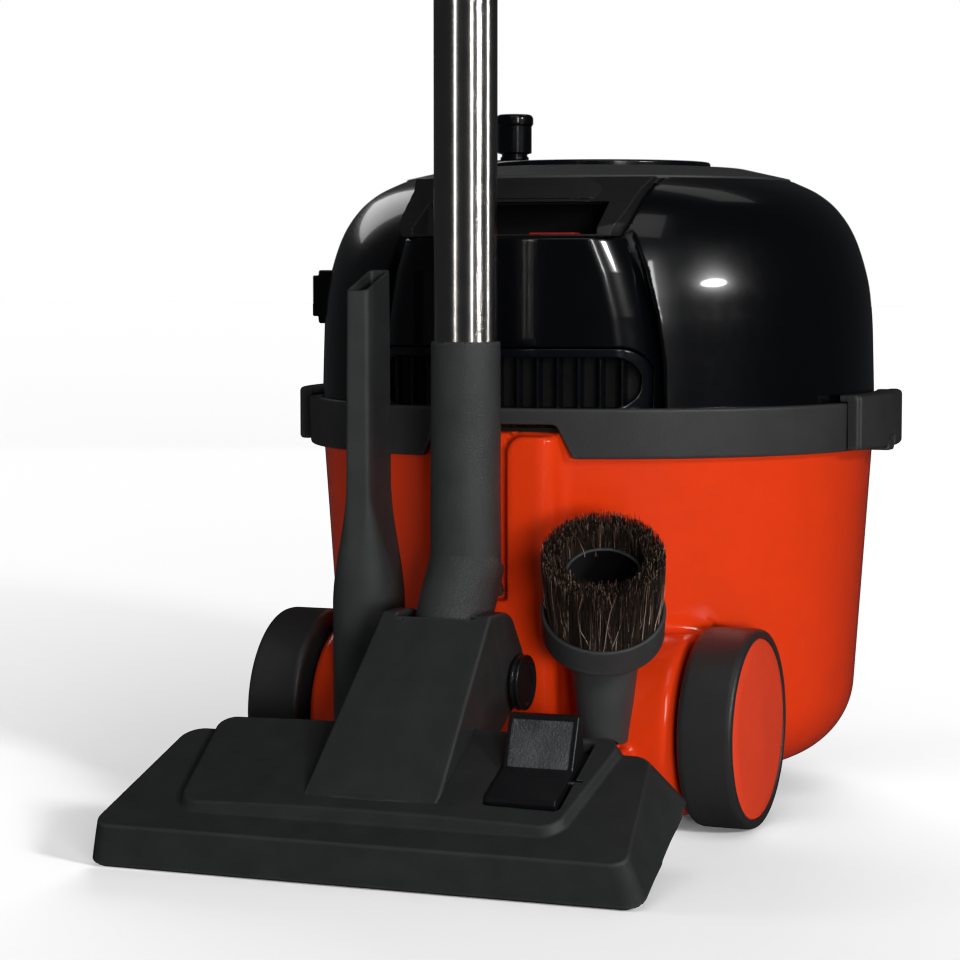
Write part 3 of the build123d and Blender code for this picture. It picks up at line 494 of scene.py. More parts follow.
# ---- the domed head ----------------------------
dome_z, dome_r = curve([(HEAD_BOTTOM, 155.2), (240, 154.3), (262, 153.4), (281, 151.0), (303, 144.2),
                        (318, 135.0), (328, 123.5), (CAP_EDGE_Z, CAP_R)])
dome_lean = 1 / np.hypot(1, np.gradient(dome_r, dome_z))
PANEL_HALF = ([206, 240, 262, 285, 303, 340], [80.0, 78.5, 75.5, 69.5, 62.0, 40.0])
MOUTH_HALF = ([300, 304, 310, 316, 322, 328, 336], [58.0, 58.5, 61.0, 62.5, 63.5, 64.5, 68.5])
CHEEK_GAP = 2.4         # the groove between the panel and each cheek
GROOVE_R = 144.5
INSERT_HALF, INSERT_TOP, INSERT_CORNER = 75.5, 246.5, 13.0
GRILLE_HALF, GRILLE_LOW, GRILLE_HIGH, GRILLE_CORNER, GRILLE_PITCH = 71.5, 215.6, 241.2, 12.0, 10.5
MOUTH_Y, MOUTH_Z, LIP_Y = -127.0, 320.5, -155.0
CLIP_ANGLE = radians(196)


def dome(x, y, z, inset=0.0):
    r = np.hypot(x, y)
    wall = (r - np.interp(z, dome_z, dome_r)) * np.interp(z, dome_z, dome_lean) + inset
    return both(wall, z - CAP_EDGE_Z + inset)


def behind(field, y):
    """The part of a field behind REAR_Y."""
    return meet(field, y - REAR_Y)


def panel(x, y, z, inset=0.0):
    """The rear panel's rounded form, without its top and bottom."""
    r = np.hypot(x, y)
    half = np.interp(z, *PANEL_HALF)
    return behind(both(r - PANEL_R, np.abs(x) - half, 18.0), y) + inset


def insert_form(x, z, inset=0.0):
    """The outline of the grille insert, open at its bottom."""
    return both(np.abs(x) - INSERT_HALF, z - INSERT_TOP, INSERT_CORNER) + inset


def mouth_opening(x, y, z, inset=0.0):
    """Where the gloss shell is open above the rear panel."""
    side = np.abs(x) - np.interp(z, *MOUTH_HALF) + inset
    return meet(behind(side, y), PANEL_TOP - z + inset)


def head_dome(x, y, z):
    """The dome and its two cheeks, with the bay that the rear panel sits in."""
    r = np.hypot(x, y)
    half = np.interp(z, *PANEL_HALF)
    bay = behind(meet(np.abs(x) - half - CHEEK_GAP, GROOVE_R - r), y)
    body = without(dome(x, y, z), bay, 2.6)
    body = without(body, behind(meet(insert_form(x, z, -1.0), 137 - r), y), 0.8)
    body = without(body, mouth_opening(x, y, z), 2.0)
    body = without(body, meet(r - HEAD_HOLLOW_R, z - HEAD_HOLLOW_TOP), 2.0)
    body = without(body, rod(x, y, z, CAP_R - 6, 300, 350, 0.5), 0.6)
    return both(body, HEAD_BOTTOM - z, 0.8)


def rear_panel(x, y, z):
    r = np.hypot(x, y)
    body = meet(both(panel(x, y, z), z - PANEL_TOP, 1.7), 141 - r)
    body = without(body, behind(insert_form(x, z), y), 0.9)
    body = without(body, meet(meet(np.abs(x) - 52, r - 152.0), 291 - z), 0.8)
    return both(body, HEAD_BOTTOM - z, 0.8)


def recess(x, y, z):
    """The matte surround of the rear recess: a frame in the mouth's plane, the wall above, the tray."""
    r = np.hypot(x, y)
    lean = hypot(LIP_Y - MOUTH_Y, PANEL_TOP - MOUTH_Z)
    above = ((z - MOUTH_Z) * (MOUTH_Y - LIP_Y) - (y - MOUTH_Y) * (MOUTH_Z - PANEL_TOP)) / lean
    frame_part = both(r - PANEL_R + 0.8, above, 0.8)
    wall = both(dome(x, y, z, 0.4), 321.0 - z, 0.8)
    wall = without(wall, meet(slab(z, 322.4, 323.4), -dome(x, y, z, 1.6)), 0.2)
    body = both(join(frame_part, wall), mouth_opening(x, y, z, 0.35), 0.6)
    body = meet(body, z - CAP_EDGE_Z + 0.5)
    tray = both(block(x, y, z, (-53.5, -152, 289), (53.5, -108, 304), 1), r - 153.4, 0.6)
    body = join(body, tray)
    half = 50.0 + 1.2 * (MOUTH_Z - z) / 17.5
    cavity = both(both(np.abs(x) - half, slab(y, -150.5, -111), 6.0), slab(z, 292, 321.2), 2.0)
    cavity = both(cavity, r - 151.2, 0.5)
    mouth = both(both(np.abs(x) - half, slab(y, -152.5, -111), 6.0), slab(z, 304.5, 330), 0.5)
    body = without(body, meet(cavity, z - 321.2), 0.7)
    return meet(without(body, meet(mouth, z - 321.2), 0.7), y + 98)


def rocker_switch(x, y, z):
    """A red rocker whose rear edge shows just above the lip of the panel."""
    body = block(x, y, z, (14.2, -148.6, 298), (39.8, -137.4, 305.4), 1.2)
    body = both(body, y - SWITCH_Y + (z - 306.5) * 3, 0.8)
    return bored(body, y - SWITCH_Y, z - SWITCH_Z, 1.5, 10 - np.abs(x - SWITCH_X), 0.2)


def grille(x, y, z):
    """The insert at the panel's foot: a frame that carries upright bars."""
    r = np.hypot(x, y)
    skin = meet(panel(x, y, z, 0.25), -panel(x, y, z, 5.5))
    frame_part = both(skin, meet(insert_form(x, z, 0.7), HEAD_BOTTOM + 1.0 - z), 0.7)
    hole = both(np.abs(x) - GRILLE_HALF, slab(z, GRILLE_LOW, GRILLE_HIGH), GRILLE_CORNER)
    frame_part = without(frame_part, behind(hole, y), 0.9)
    nearest = x - np.clip(np.round(x / GRILLE_PITCH), -6, 6) * GRILLE_PITCH
    bars = meet(both(np.abs(nearest) - 0.8, slab(r, 143.0, 154.6), 0.4), behind(hole - 1, y))
    return join(frame_part, bars)


# Painted shade: a near-black sheet behind the grille's bars, where the inside of the head lies in shadow.
def painted_shade_sheet(x, y, z):
    r = np.hypot(x, y)
    return behind(meet(both(slab(r, 138.5, 141.5), insert_form(x, z, 1.0), 0.5), 208 - z), y)


def blacken(piece, dark, inside, matrix=MACHINE):
    """Gives a piece's second material to the faces whose middles are inside."""
    piece.data.materials.append(dark)
    faces = piece.data.polygons
    points = np.empty(len(faces) * 3)
    faces.foreach_get("center", points)
    back = np.linalg.inv(np.array(matrix))
    local = points.reshape(-1, 3) @ back[:3, :3].T + back[:3, 3]
    faces.foreach_set("material_index", inside(*local.T).astype(np.int32))


moulded("head_dome", head_dome, (-160, -160, 203), (160, 160, 338), 1.55,
        "head", "black_gloss", "head_shell")
moulded("rear_panel", rear_panel, (-86, -160, 203), (86, -96, 306), 1.0,
        "head", "black_gloss")
surround = moulded("recess_surround", recess, (-76, -158, 287), (76, -96, 337), 0.9,
                   "head", "inner_grey", "pocket_liner", look=surround_grey)
# Painted shade: the faces inside the recess, past its mouth, get the near-black.
blacken(surround, painted_shade_black, lambda x, y, z: (y > -126.5) & (z < 320.6) & (np.abs(x) < 53))
moulded("grille_insert", grille, (-80, -159, 204), (80, -120, 249), 0.7,
        "head", "grille_black", "vent_grille")
# The sheet behind the bars is painted shade.
moulded("grille_shade", painted_shade_sheet, (-80, -159, 204), (80, -110, 249), 1.4,
        "head", "soft_black", look=painted_shade_black)
turned("cap_plate",
       [(8.2, 332), (CAP_R - 7.5, 332), (CAP_R - 7.5, 334.2), (CAP_R - 0.3, 334.2), (CAP_R - 0.3, 336.2),
        (81, 342.2), (WINDER_R + 3.6, CAP_TOP), (WINDER_R + 1.6, CAP_TOP), (WINDER_R + 1.6, 339.6),
        (8.2, 339.6)],
       [0, 0, 0, 0.8, 0.8, 30, 1.0, 0.8, 0.5, 0],
       "head", "collar_grey", "top_cap", look=cap_grey, sides=160)


def clip(x, y, z):
    """The plug's clip: two horns with a slot between them, on a foot that follows the dome."""
    c, s = cos(CLIP_ANGLE), sin(CLIP_ANGLE)
    u, v = x * c + y * s, y * c - x * s
    face = 160.2 - 0.10 * np.abs(z - 271) - 0.12 * np.abs(v)
    body = both(both(u - face, np.abs(v) - 9, 1.2), slab(z, 256, 286), 1.0)
    horns = both(both(slab(u, 156, 161.6), slab(np.abs(v), 3.6, 6.4), 0.9), slab(z, 260, 283), 0.9)
    slot = both(both(156.0 - u, np.abs(v) - 3.6, 0.8), slab(z, 240, 280), 1.0)
    body = without(either(body, horns, 0.6), slot, 0.7)
    return without(meet(body, 150 - u), dome(x, y, z, 0.3), 0.3)


moulded("clip_gloss", clip, (-166, -62, 252), (-132, -24, 290), 0.6,
        "head", "black_gloss", "plug_clip")


# ---- cable winder ------------------------------
turned("winder_plate",
       [(8.0, 290), (8.0, 340), (WINDER_R, 340), (WINDER_R, WINDER_TOP), (WINDER_R - 5, WINDER_TOP),
        (WINDER_R - 6.5, WINDER_TOP - 1.4), (0.01, WINDER_TOP - 1.4), (0.01, 290)],
       [0, 0, 0.6, 1.4, 0.6, 0.6, 0, 0], "winder", "winder_black", "winder_disc", sides=160)
boss = MACHINE @ Matrix.Translation((KNOB_X, KNOB_Y, 0))
turned("crank_boss",
       [(3.0, 344), (11, 344), (11, 347.5), (3.0, 347.5), (3.0, 366), (0.01, 366), (0.01, 344)],
       [0, 0, 0.8, 0, 0.4, 0, 0], "winder", "winder_black", matrix=boss, sides=48)
turned("crank_knob_gloss",
       [(3.05, 347.7), (8.0, 347.7), (8.0, 349.0), (7.2, 349.6), (7.2, 350.8), (9.6, 351.4), (9.6, 366.4),
        (KNOB_R, 367.6), (KNOB_R, KNOB_TOP), (0.01, KNOB_TOP + 0.3), (0.01, 366.3), (3.05, 366.3)],
       [0, 0.5, 0.4, 0.3, 0.3, 0.9, 0.7, 1.2, 3.0, 0, 0, 0],
       "winder_knob", "black_gloss", "crank_knob", matrix=boss, sides=72)


# ---- tub ---------------------------------------
def tub_form(x, y, z, inset=0.0):
    lean = hypot(1, TUB_TAPER)
    side = (np.hypot(x, y) - TUB_R - (z - TUB_R_Z) * TUB_TAPER) / lean + inset
    return both(side, TUB_FLOOR + inset - z, TUB_CORNER - inset)


def leaning(y, z):
    """Y and Z turned to lie across and along the seat that the parked wand slides into."""
    c, s = cos(SEAT_LEAN), sin(SEAT_LEAN)
    return y * c + z * s, z * c - y * s


def tub(x, y, z):
    ax = np.abs(x)
    r = np.hypot(x, y)
    column = both(both(ax - COLUMN_HALF, COLUMN_Y - y, 9.0), slab(z, TUB_FLOOR + 4, TUB_TOP), 3.0)
    column = meet(column, y + 100)
    face = join(both(SLOT_HALF - ax, z - TUB_TOP + 2.0, 9.0), z - 116)
    column = join(both(column, face, 2.2), meet(column, COLUMN_Y + 9.6 - y))
    across, along = leaning(y - COLUMN_Y - 1.5, z - SEAT_Z)
    seat = meet(np.abs(across) - 3.7, slab(along, 0, SEAT_LENGTH))
    column = without(column, meet(seat, ax - SLOT_HALF), 0.8)
    body = either(tub_form(x, y, z), column, 7.0)
    lump = rod(y - WHEEL_Y, z - WHEEL_R, ax, LUMP_R, LUMP_IN - 22, LUMP_OUT, 8.0)
    body = either(body, lump, 5.0)
    right_ledge = block(x, y, z, (BRUSH_X - 20, BRUSH_Y - 15, 28), (BRUSH_X + 14, -110, 46), 4.0)
    left_ledge = block(x, y, z, (CREVICE_X - 14, CREVICE_Y - 15, 28), (CREVICE_X + 20, -110, 46), 4.0)
    body = either(body, join(right_ledge, left_ledge), 4.0)
    body = either(body, rod(x, y, z, RIM_R, 190, TUB_TOP, 0.8))
    body = bored(body, y - WHEEL_Y, z - WHEEL_R, ARCH_R, LUMP_OUT - ax, 2.5)
    hollow = both(tub_form(x, y, z, TUB_WALL), z - TUB_TOP - 20)
    hollow = bored(hollow, y - WHEEL_Y, z - WHEEL_R, ARCH_R + 3, LUMP_OUT - TUB_WALL - ax, 1.0)
    castor_r = np.hypot(ax - CASTOR_X, y - CASTOR_Y)
    hollow = without(hollow, meet(castor_r - POCKET_R - TUB_WALL, z - POCKET_TOP - TUB_WALL), 2.0)
    hollow = without(hollow, meet(castor_r - 12, z - POCKET_TOP - 24), 2.0)
    body = without(body, hollow, 0.8)
    body = without(body, meet(castor_r - POCKET_R, z - POCKET_TOP), 1.5)
    body = without(body, meet(castor_r - 4.06, z - POCKET_TOP - 20), 0.5)
    return meet(bored(body, x, z - INLET_Z, INLET_R, 100 - y, 0.8), z - TUB_TOP)


moulded("switch_rocker_red", rocker_switch, (12, -151, 295), (42, -135, 308), 0.6,
        "switch_rocker", "switch_red", "power_switch")
moulded("tub_red", tub, (-162, -194, 6), (162, 160, 206), 2.3, "machine", "red_gloss", "tub")


# ---- collar and latches ------------------------
def collar(x, y, z):
    r = np.hypot(x, y)
    ring = both(r - COLLAR_R + 0.035 * (COLLAR_TOP - z), slab(z, COLLAR_BOTTOM, COLLAR_TOP), 1.6)
    bore = np.where(z < TUB_TOP + 0.3, RIM_R, HEAD_SEAT_R) + 0.05
    ring = both(ring, bore - r, 0.5)
    side = NOTCH_HALF + 9 * (NOTCH_TOP - z) / (NOTCH_TOP - COLLAR_BOTTOM + 1)
    notch = meet(both((np.abs(x) - side) * 0.9, z - NOTCH_TOP, 2.0), y + 100)
    lug = block(np.abs(x), y, z, (HINGE_X - 10, -6, COLLAR_BOTTOM - 0.9), (HINGE_X + 3, 6, HINGE_Z + 3))
    body = either(without(ring, notch, 1.2), lug)
    return bored(body, np.abs(x) - HINGE_X, z - HINGE_Z, 1.6, np.abs(y) - 15)


def latch(x, y, z):
    """A curved block with a finger ridge at its end, hooked over the collar's top edge."""
    ax = np.abs(x)
    r, angle = np.hypot(x, y), np.arctan2(np.abs(y), ax)
    ends = (angle - LATCH_SPAN) * 165
    swell = 0.9 * smooth_step(-ends, 2.6, 1.6)
    body = both(r - LATCH_R + swell, slab(z, LATCH_BOTTOM, LATCH_TOP), 2.2)
    body = both(body, meet(ends, COLLAR_R + 0.6 - r), 1.4)
    hook = both(both(slab(r, HEAD_SEAT_R + 0.4, 168), slab(z, COLLAR_TOP + 0.5, LATCH_TOP), 0.7), ends, 1.4)
    body = either(body, hook)
    body = without(body, block(ax, y, z, (150, -6.6, 180), (180, 6.6, 196.6), 0.5), 0.6)
    return bored(body, ax - HINGE_X, z - HINGE_Z, 1.5, np.abs(y) - 14)


moulded("collar_ring", collar, (-173, -166, 186), (173, 166, 219), 1.5,
        "machine", "collar_grey", "collar")
for side, word in SIDES:
    moulded("latch_block_" + word, latch, (side * 164 - 12, -52, 187), (side * 164 + 12, 52, 222), 0.9,
            "latch_arm_" + word, "collar_grey", "latch_" + word)


# ---- wheels ------------------------------------
def beside(side, x, y, z):
    """A lathe's place whose Z points outwards along X at that side."""
    return Matrix.Translation((side * x, y, z)) @ Matrix.Rotation(side * pi / 2, 4, "Y")


width = WHEEL_OUT - WHEEL_IN
for side, word in SIDES:
    hub = MACHINE @ beside(side, WHEEL_IN, WHEEL_Y, WHEEL_R)
    turned("tyre_" + word,
           [(4.05, 0), (WHEEL_R - 1.2, 0), (WHEEL_R, 3), (WHEEL_R, width - 3), (WHEEL_R - 0.8, width),
            (HUB_R + 0.15, width), (HUB_R + 0.15, width - 6), (4.05, width - 6)],
           [0, 4.5, 6, 6, 4.0, 0.8, 0.5, 0], "wheel_" + word, "tyre_black", "rear_tyre_" + word,
           matrix=hub, sides=144)
    turned("hub_disc_" + word,
           [(9, width - 5.8), (HUB_R, width - 5.8), (HUB_R, width - 0.6), (HUB_R - 6, width + 0.4),
            (0.01, width + 2), (0.01, width - 0.5), (9, width - 0.5)],
           [0, 0, 1.4, 30, 0, 0, 0], "wheel_" + word, "hub_red", "hub_cap_" + word,
           matrix=hub, sides=144)


# ---- wand, socket and elbow --------------------
wand = MACHINE @ Matrix.Translation((0, WAND_Y, 0))
turned("wand_steel",
       [(WAND_R - 1, WAND_BOTTOM), (WAND_R, WAND_BOTTOM), (WAND_R, WAND_TOP), (WAND_R - 1, WAND_TOP)],
       [0, 0, 0.4, 0.4], "wand", "stainless", "wand_tube", matrix=wand, sides=128)


def socket(x, y, z):
    r = np.hypot(x, y - WAND_Y)
    tube = both(r - SOCKET_R + 0.004 * (z - SOCKET_BOTTOM), slab(z, SLEEVE_BOTTOM, SOCKET_TOP), 0.9)
    web = meet(outline(y, z, [(WAND_Y + 15.5, 176), (COLUMN_Y - 4.5, 146), (COLUMN_Y - 4.5, 122),
                                    (WAND_Y + 20.5, 151), (WAND_Y + 15.5, 151)]), np.abs(x) - 5)
    tongue = block(x, *leaning(y - COLUMN_Y + 1.7, z - SEAT_Z - 5.6), (-6.5, -2.5, -4), (6.5, 2.5, 14))
    body = either(tube, join(web, tongue))
    bore = np.where(z > WAND_BOTTOM, WAND_R + 0.02, SPIGOT_R + 0.06) - r
    return both(body, bore, 0.5)


def elbow(x, y, z):
    """A leaning sleeve from the tool's nodding axis up round the foot of the socket."""
    foot_y = TOOL_FRONT_Y + NOD_Y * cos(TOOL_TILT) - NOD_Z * sin(TOOL_TILT)
    foot_z = NOD_Y * sin(TOOL_TILT) + NOD_Z * cos(TOOL_TILT)
    lean = Vector((0, ELBOW_RUN_Y, ELBOW_RUN_Z)).normalized()
    along = (y - foot_y) * lean.y + (z - foot_z) * lean.z
    across = -(y - foot_y) * lean.z + (z - foot_z) * lean.y
    body = both(np.hypot(x, across) - ELBOW_R, slab(along, 0, ELBOW_LENGTH), 0.4)
    body = either(body, rod(y - foot_y, z - foot_z, x, 19.4, -19.5, 19.5, 1.0), 2.0)
    spigot = rod(x, y - WAND_Y, z, SPIGOT_R, SLEEVE_BOTTOM, SPIGOT_TOP, 0.6)
    trunnion = rod(y - foot_y, z - foot_z, x, 6.0, -23.5, 23.5, 0.6)
    body = join(join(body, spigot), trunnion)
    return without(body, rod(x, y - WAND_Y, z, SPIGOT_BORE, 136, SPIGOT_TOP + 10, 0.6), 0.6)


moulded("socket_tube", socket, (-21, WAND_Y - 21, 105), (21, -148, 253), 1.2,
        "wand", "socket_grey", "neck_socket")
moulded("elbow_bend", elbow, (-26, -253, 68), (26, -176, 182), 1.0,
        "elbow", "tool_grey", "swivel_elbow", look=elbow_grey)


# ---- floor tool --------------------------------
NECK = filleted([(32, 27), (140.5, 63.4), (162.5, 53), (169.5, 22), (160, 5), (103, 5), (97, 27)],
                [0, 2.5, 16, 14, 4, 0, 0])
PEDAL_X, PEDAL_Y, PEDAL_Z, PEDAL_HALF = 74.0, 60.0, 24.0, 17.7


def tool_cover(x, y, z):
    ax = np.abs(x)
    side = TOOL_HALF - 5 * y / TOOL_DEPTH - (z - 4) * (4 + 9 * y / TOOL_DEPTH) / 17
    front = 0.5 + (z - 4) * 3 / 17 - y
    plan = both((ax - side) * 0.94, meet(front * 0.98, y - TOOL_DEPTH), 9.0)
    low = both(plan, z - CREASE, 1.1)
    crown = PLATFORM + 0.5 - 1.5 * (x / 100.0) ** 2
    step_side = 104 + 0.13 * (y - 60) - (z - 20) * 0.5
    step_front = 18.5 + (z - 20) * 0.62 - y
    step_plan = both((ax - step_side) * 0.9, meet(step_front * 0.85, y - TOOL_DEPTH - 6), 9.0)
    step = both(step_plan, z - crown, 0.9)
    body = either(low, step, 0.8)
    body = both(body, 0.4 - z, 0.6)
    inside = block(x, y, z, (-118, 12, -10), (118, 86, 17))
    body = without(body, inside, 0.6)
    gap = block(x, y, z, (-19, 60, 4), (19, 110, 30), 0.6)
    well = both(both(np.abs(x - PEDAL_X) - 19.1, slab(y, 35.6, 92), 3.0), 18.9 - z, 0.8)
    body = without(without(body, gap, 0.6), well, 0.9)
    return bored(body, y - PEDAL_Y, z - PEDAL_Z, 1.5, np.abs(x - PEDAL_X) - 23)


def neck(x, y, z):
    ax = np.abs(x)
    half = np.interp(y, [30, 140, 175], [35.0, 29.0, 30.6])
    side = outline(y, z, NECK)
    bulge = 1.6 * (1 - (x / 36.0) ** 2)
    body = both(side - np.where(z > 27, bulge * 0.5, 0), ax - half, 1.5)
    hollow = outline(y, z, [(104, 0), (104, 48), (130.5, 57), (141, 64.6), (180, 80), (180, 0)])
    body = without(body, meet(hollow, ax - 20.5), 0.8)
    duct = outline(y, z, [(60, 26), (60, 33), (105, 48), (105, 26)])
    body = without(body, meet(duct, ax - 19), 0.6)
    body = bored(body, y - NOD_Y, z - NOD_Z, 6.06, ax - 23.7)
    return bored(body, y - ROLLER_Y, z - ROLLER_Z, 3, 24 - ax)


PEDAL_BEND_Y, PEDAL_BEND_Z, PEDAL_END_Y, PEDAL_END_Z = 63.5, 29.2, 82.0, 47.2
PEDAL_LEAN = atan2(PEDAL_END_Z - PEDAL_BEND_Z, PEDAL_END_Y - PEDAL_BEND_Y)


def over_tread(y, z):
    """Height over the pedal's sloping rear half."""
    return (z - PEDAL_BEND_Z) * cos(PEDAL_LEAN) - (y - PEDAL_BEND_Y) * sin(PEDAL_LEAN)


def pedal(x, y, z):
    """A rocker with a sunk tread on its raised rear half."""
    ax = np.abs(x - PEDAL_X)
    top = PLATFORM
    side = outline(y, z, [(38, top - 3), (37, top + 0.6), (38.5, top + 2.4), (PEDAL_BEND_Y, PEDAL_BEND_Z),
                          (PEDAL_END_Y, PEDAL_END_Z), (85.5, top + 18.8), (80, top - 2)])
    body = both(side, ax - PEDAL_HALF)
    tread = meet(meet(-0.8 - over_tread(y, z), ax - PEDAL_HALF + 2.6),
                       slab(y, PEDAL_BEND_Y + 0.5, PEDAL_END_Y - 1.4))
    body = without(body, tread, 0.35)
    boss = outline(y, z, [(54, top), (57, PEDAL_Z - 3), (63, PEDAL_Z - 3), (66, top)])
    body = either(body, meet(boss, ax - 16), 0.6)
    return bored(body, y - PEDAL_Y, z - PEDAL_Z, 1.55, ax - 25, 0.2)


moulded("tool_shell", tool_cover, (-144, -3, -2), (144, 99, 31), 1.25,
        "floor_tool", "tool_grey", "tool_cover", matrix=TOOL)
moulded("neck_shell", neck, (-39, 28, 2), (39, 172, 68), 1.1,
        "floor_tool", "tool_grey", "neck_housing", matrix=TOOL)
rocker = moulded("pedal_rocker", pedal, (PEDAL_X - 20, 34, 19), (PEDAL_X + 20, 88, 49), 0.6, "foot_pedal",
                 "pedal_black", "tool_pedal", matrix=TOOL)
# The tread's faces take the lighter grey, which is partly painted light.
blacken(rocker, pedal_tread_painted_light,
        lambda x, y, z: (np.abs(x - PEDAL_X) < PEDAL_HALF - 2.7) & (slab(over_tread(y, z), -1.2, -0.5) < 0)
        & (slab(y, PEDAL_BEND_Y, PEDAL_END_Y - 1) < 0), TOOL)

for side, word in SIDES:
    lathe = TOOL @ beside(side, 31.5, ROLLER_Y, ROLLER_Z)
    turned("neck_roller_" + word,
           [(3.3, 0), (ROLLER_R, 0), (ROLLER_R, 1.5), (ROLLER_R - 0.8, 1.9), (ROLLER_R - 0.8, 2.6),
            (ROLLER_R, 3.0), (ROLLER_R, 4.4), (11, 4.4), (10.2, 3.6), (0.01, 3.6), (0.01, 2.6), (3.3, 2.6)],
           [0, 0.5, 0.4, 0.2, 0.2, 0.4, 0.7, 0.4, 0.4, 0, 0, 0], "roller_" + word, "pedal_black",
           "tool_roller_" + word, matrix=lathe, sides=64)


# ---- crevice tool ------------------------------
def crevice(x, y, z):
    """A round foot that turns into a flat hollow blade, cut off on a slant at its tip."""
    def form(inset):
        to_tip = smooth_step(z, 112, 176)
        taper = np.clip((z - 172) / 120, 0, 1)
        half_x = 18.7 - 12.0 * to_tip - 0.7 * taper - inset
        half_y = 18.7 - 3.3 * to_tip - 0.5 * taper - inset
        corner = join(18.6 - 16.4 * to_tip, half_x - 0.05)
        qx = np.abs(x - CREVICE_X) - half_x + corner
        qy = np.abs(y - CREVICE_Y) - half_y + corner
        far = np.sqrt(meet(qx, 0) ** 2 + meet(qy, 0) ** 2)
        return far + join(meet(qx, qy), 0) - corner

    slant = radians(20)
    tip = (z - 281) * cos(slant) - (y - CREVICE_Y) * sin(slant)
    shell = meet(form(0.0), -form(1.7))
    return both(shell, meet(48.0 - z, tip), 0.6)


moulded("crevice_nozzle_body", crevice,
        (CREVICE_X - 21, CREVICE_Y - 21, 45), (CREVICE_X + 21, CREVICE_Y + 21, 292), 1.0,
        "crevice_nozzle", "socket_grey", "crevice_tool", look=brush_grey)


# ---- dusting brush -----------------------------
def brush_cup(x, y, z):
    """The cup, its inner sleeve and the upper end of the neck, in the brush head's own frame."""
    r = np.hypot(x, y)
    cup = both(r - BRUSH_R + 0.05 * np.abs(z), slab(z, -17.5, 0), 1.2)
    bowl = both((r - 21.0 - (z + 25) * 0.9) * 0.74, slab(z, -25, -15), 1.0)
    cup = either(cup, bowl, 1.5)
    trough = meet(meet(r - 29.3, 19.2 - r), -8 - z)
    cup = without(cup, trough, 0.5)
    sleeve = both(slab(r, SLEEVE_R - 1.8, SLEEVE_R), slab(z, -16, SLEEVE_TOP), 0.7)
    cup = join(cup, sleeve)
    neck_at = np.array(BRUSH.inverted() @ (MACHINE @ Matrix.Translation((BRUSH_X, BRUSH_Y, 0))))
    back = np.linalg.inv(neck_at)
    nx, ny, nz = (back[a, 0] * x + back[a, 1] * y + back[a, 2] * z + back[a, 3] for a in range(3))
    nr = np.hypot(nx, ny)
    cone = both((nr - 12.3 - (nz - 48) * 0.12) * 0.993, slab(nz, 48, 96), 0.8)
    ball = np.sqrt(nx ** 2 + ny ** 2 + (nz - 93) ** 2) - 17.9
    body = either(join(cone, ball), cup, 2.0)
    body = without(body, meet(r - 17.3, -14 - z), 0.6)
    return without(body, meet(nr - 9.3, nz - 90), 0.5)


cup = moulded("brush_cup", brush_cup, (-34, -34, -85), (34, 58, 25), 0.95,
              "dusting_brush", "tool_grey", "brush_body", look=brush_grey, matrix=BRUSH)
# Painted shade: the inside of the inner sleeve gets the near-black.
blacken(cup, painted_shade_black,
        lambda x, y, z: (np.hypot(x, y) < SLEEVE_R - 1) & (slab(z, -15, SLEEVE_TOP - 1) < 0), BRUSH)


def bristle_material(name):
    """Hair from black to brown, with a few pale ones; each hair's tone, with the painted glints at some of
    its tips, is an attribute.
    """
    material = plastic(name, (0.02, 0.014, 0.010), 0.45, 0.08)
    tree = material.node_tree
    shader = tree.nodes["Principled BSDF"]
    own = tree.nodes.new("ShaderNodeAttribute")
    own.attribute_name = "hair_shade"
    ramp = tree.nodes.new("ShaderNodeValToRGB")
    stops = ramp.color_ramp.elements
    stops[0].position, stops[0].color = 0.0, (0.010, 0.009, 0.008, 1)
    stops[1].position, stops[1].color = 0.62, (0.060, 0.036, 0.025, 1)
    for position, color in ((0.86, (0.20, 0.125, 0.090, 1)), (1.0, (0.60, 0.46, 0.37, 1))):
        stop = stops.new(position)
        stop.color = color
    tree.links.new(own.outputs["Fac"], ramp.inputs["Fac"])
    tree.links.new(ramp.outputs["Color"], shader.inputs["Base Color"])
    return material


def level(angle):
    """A level unit vector at that angle."""
    return np.array([cos(angle), sin(angle), 0])


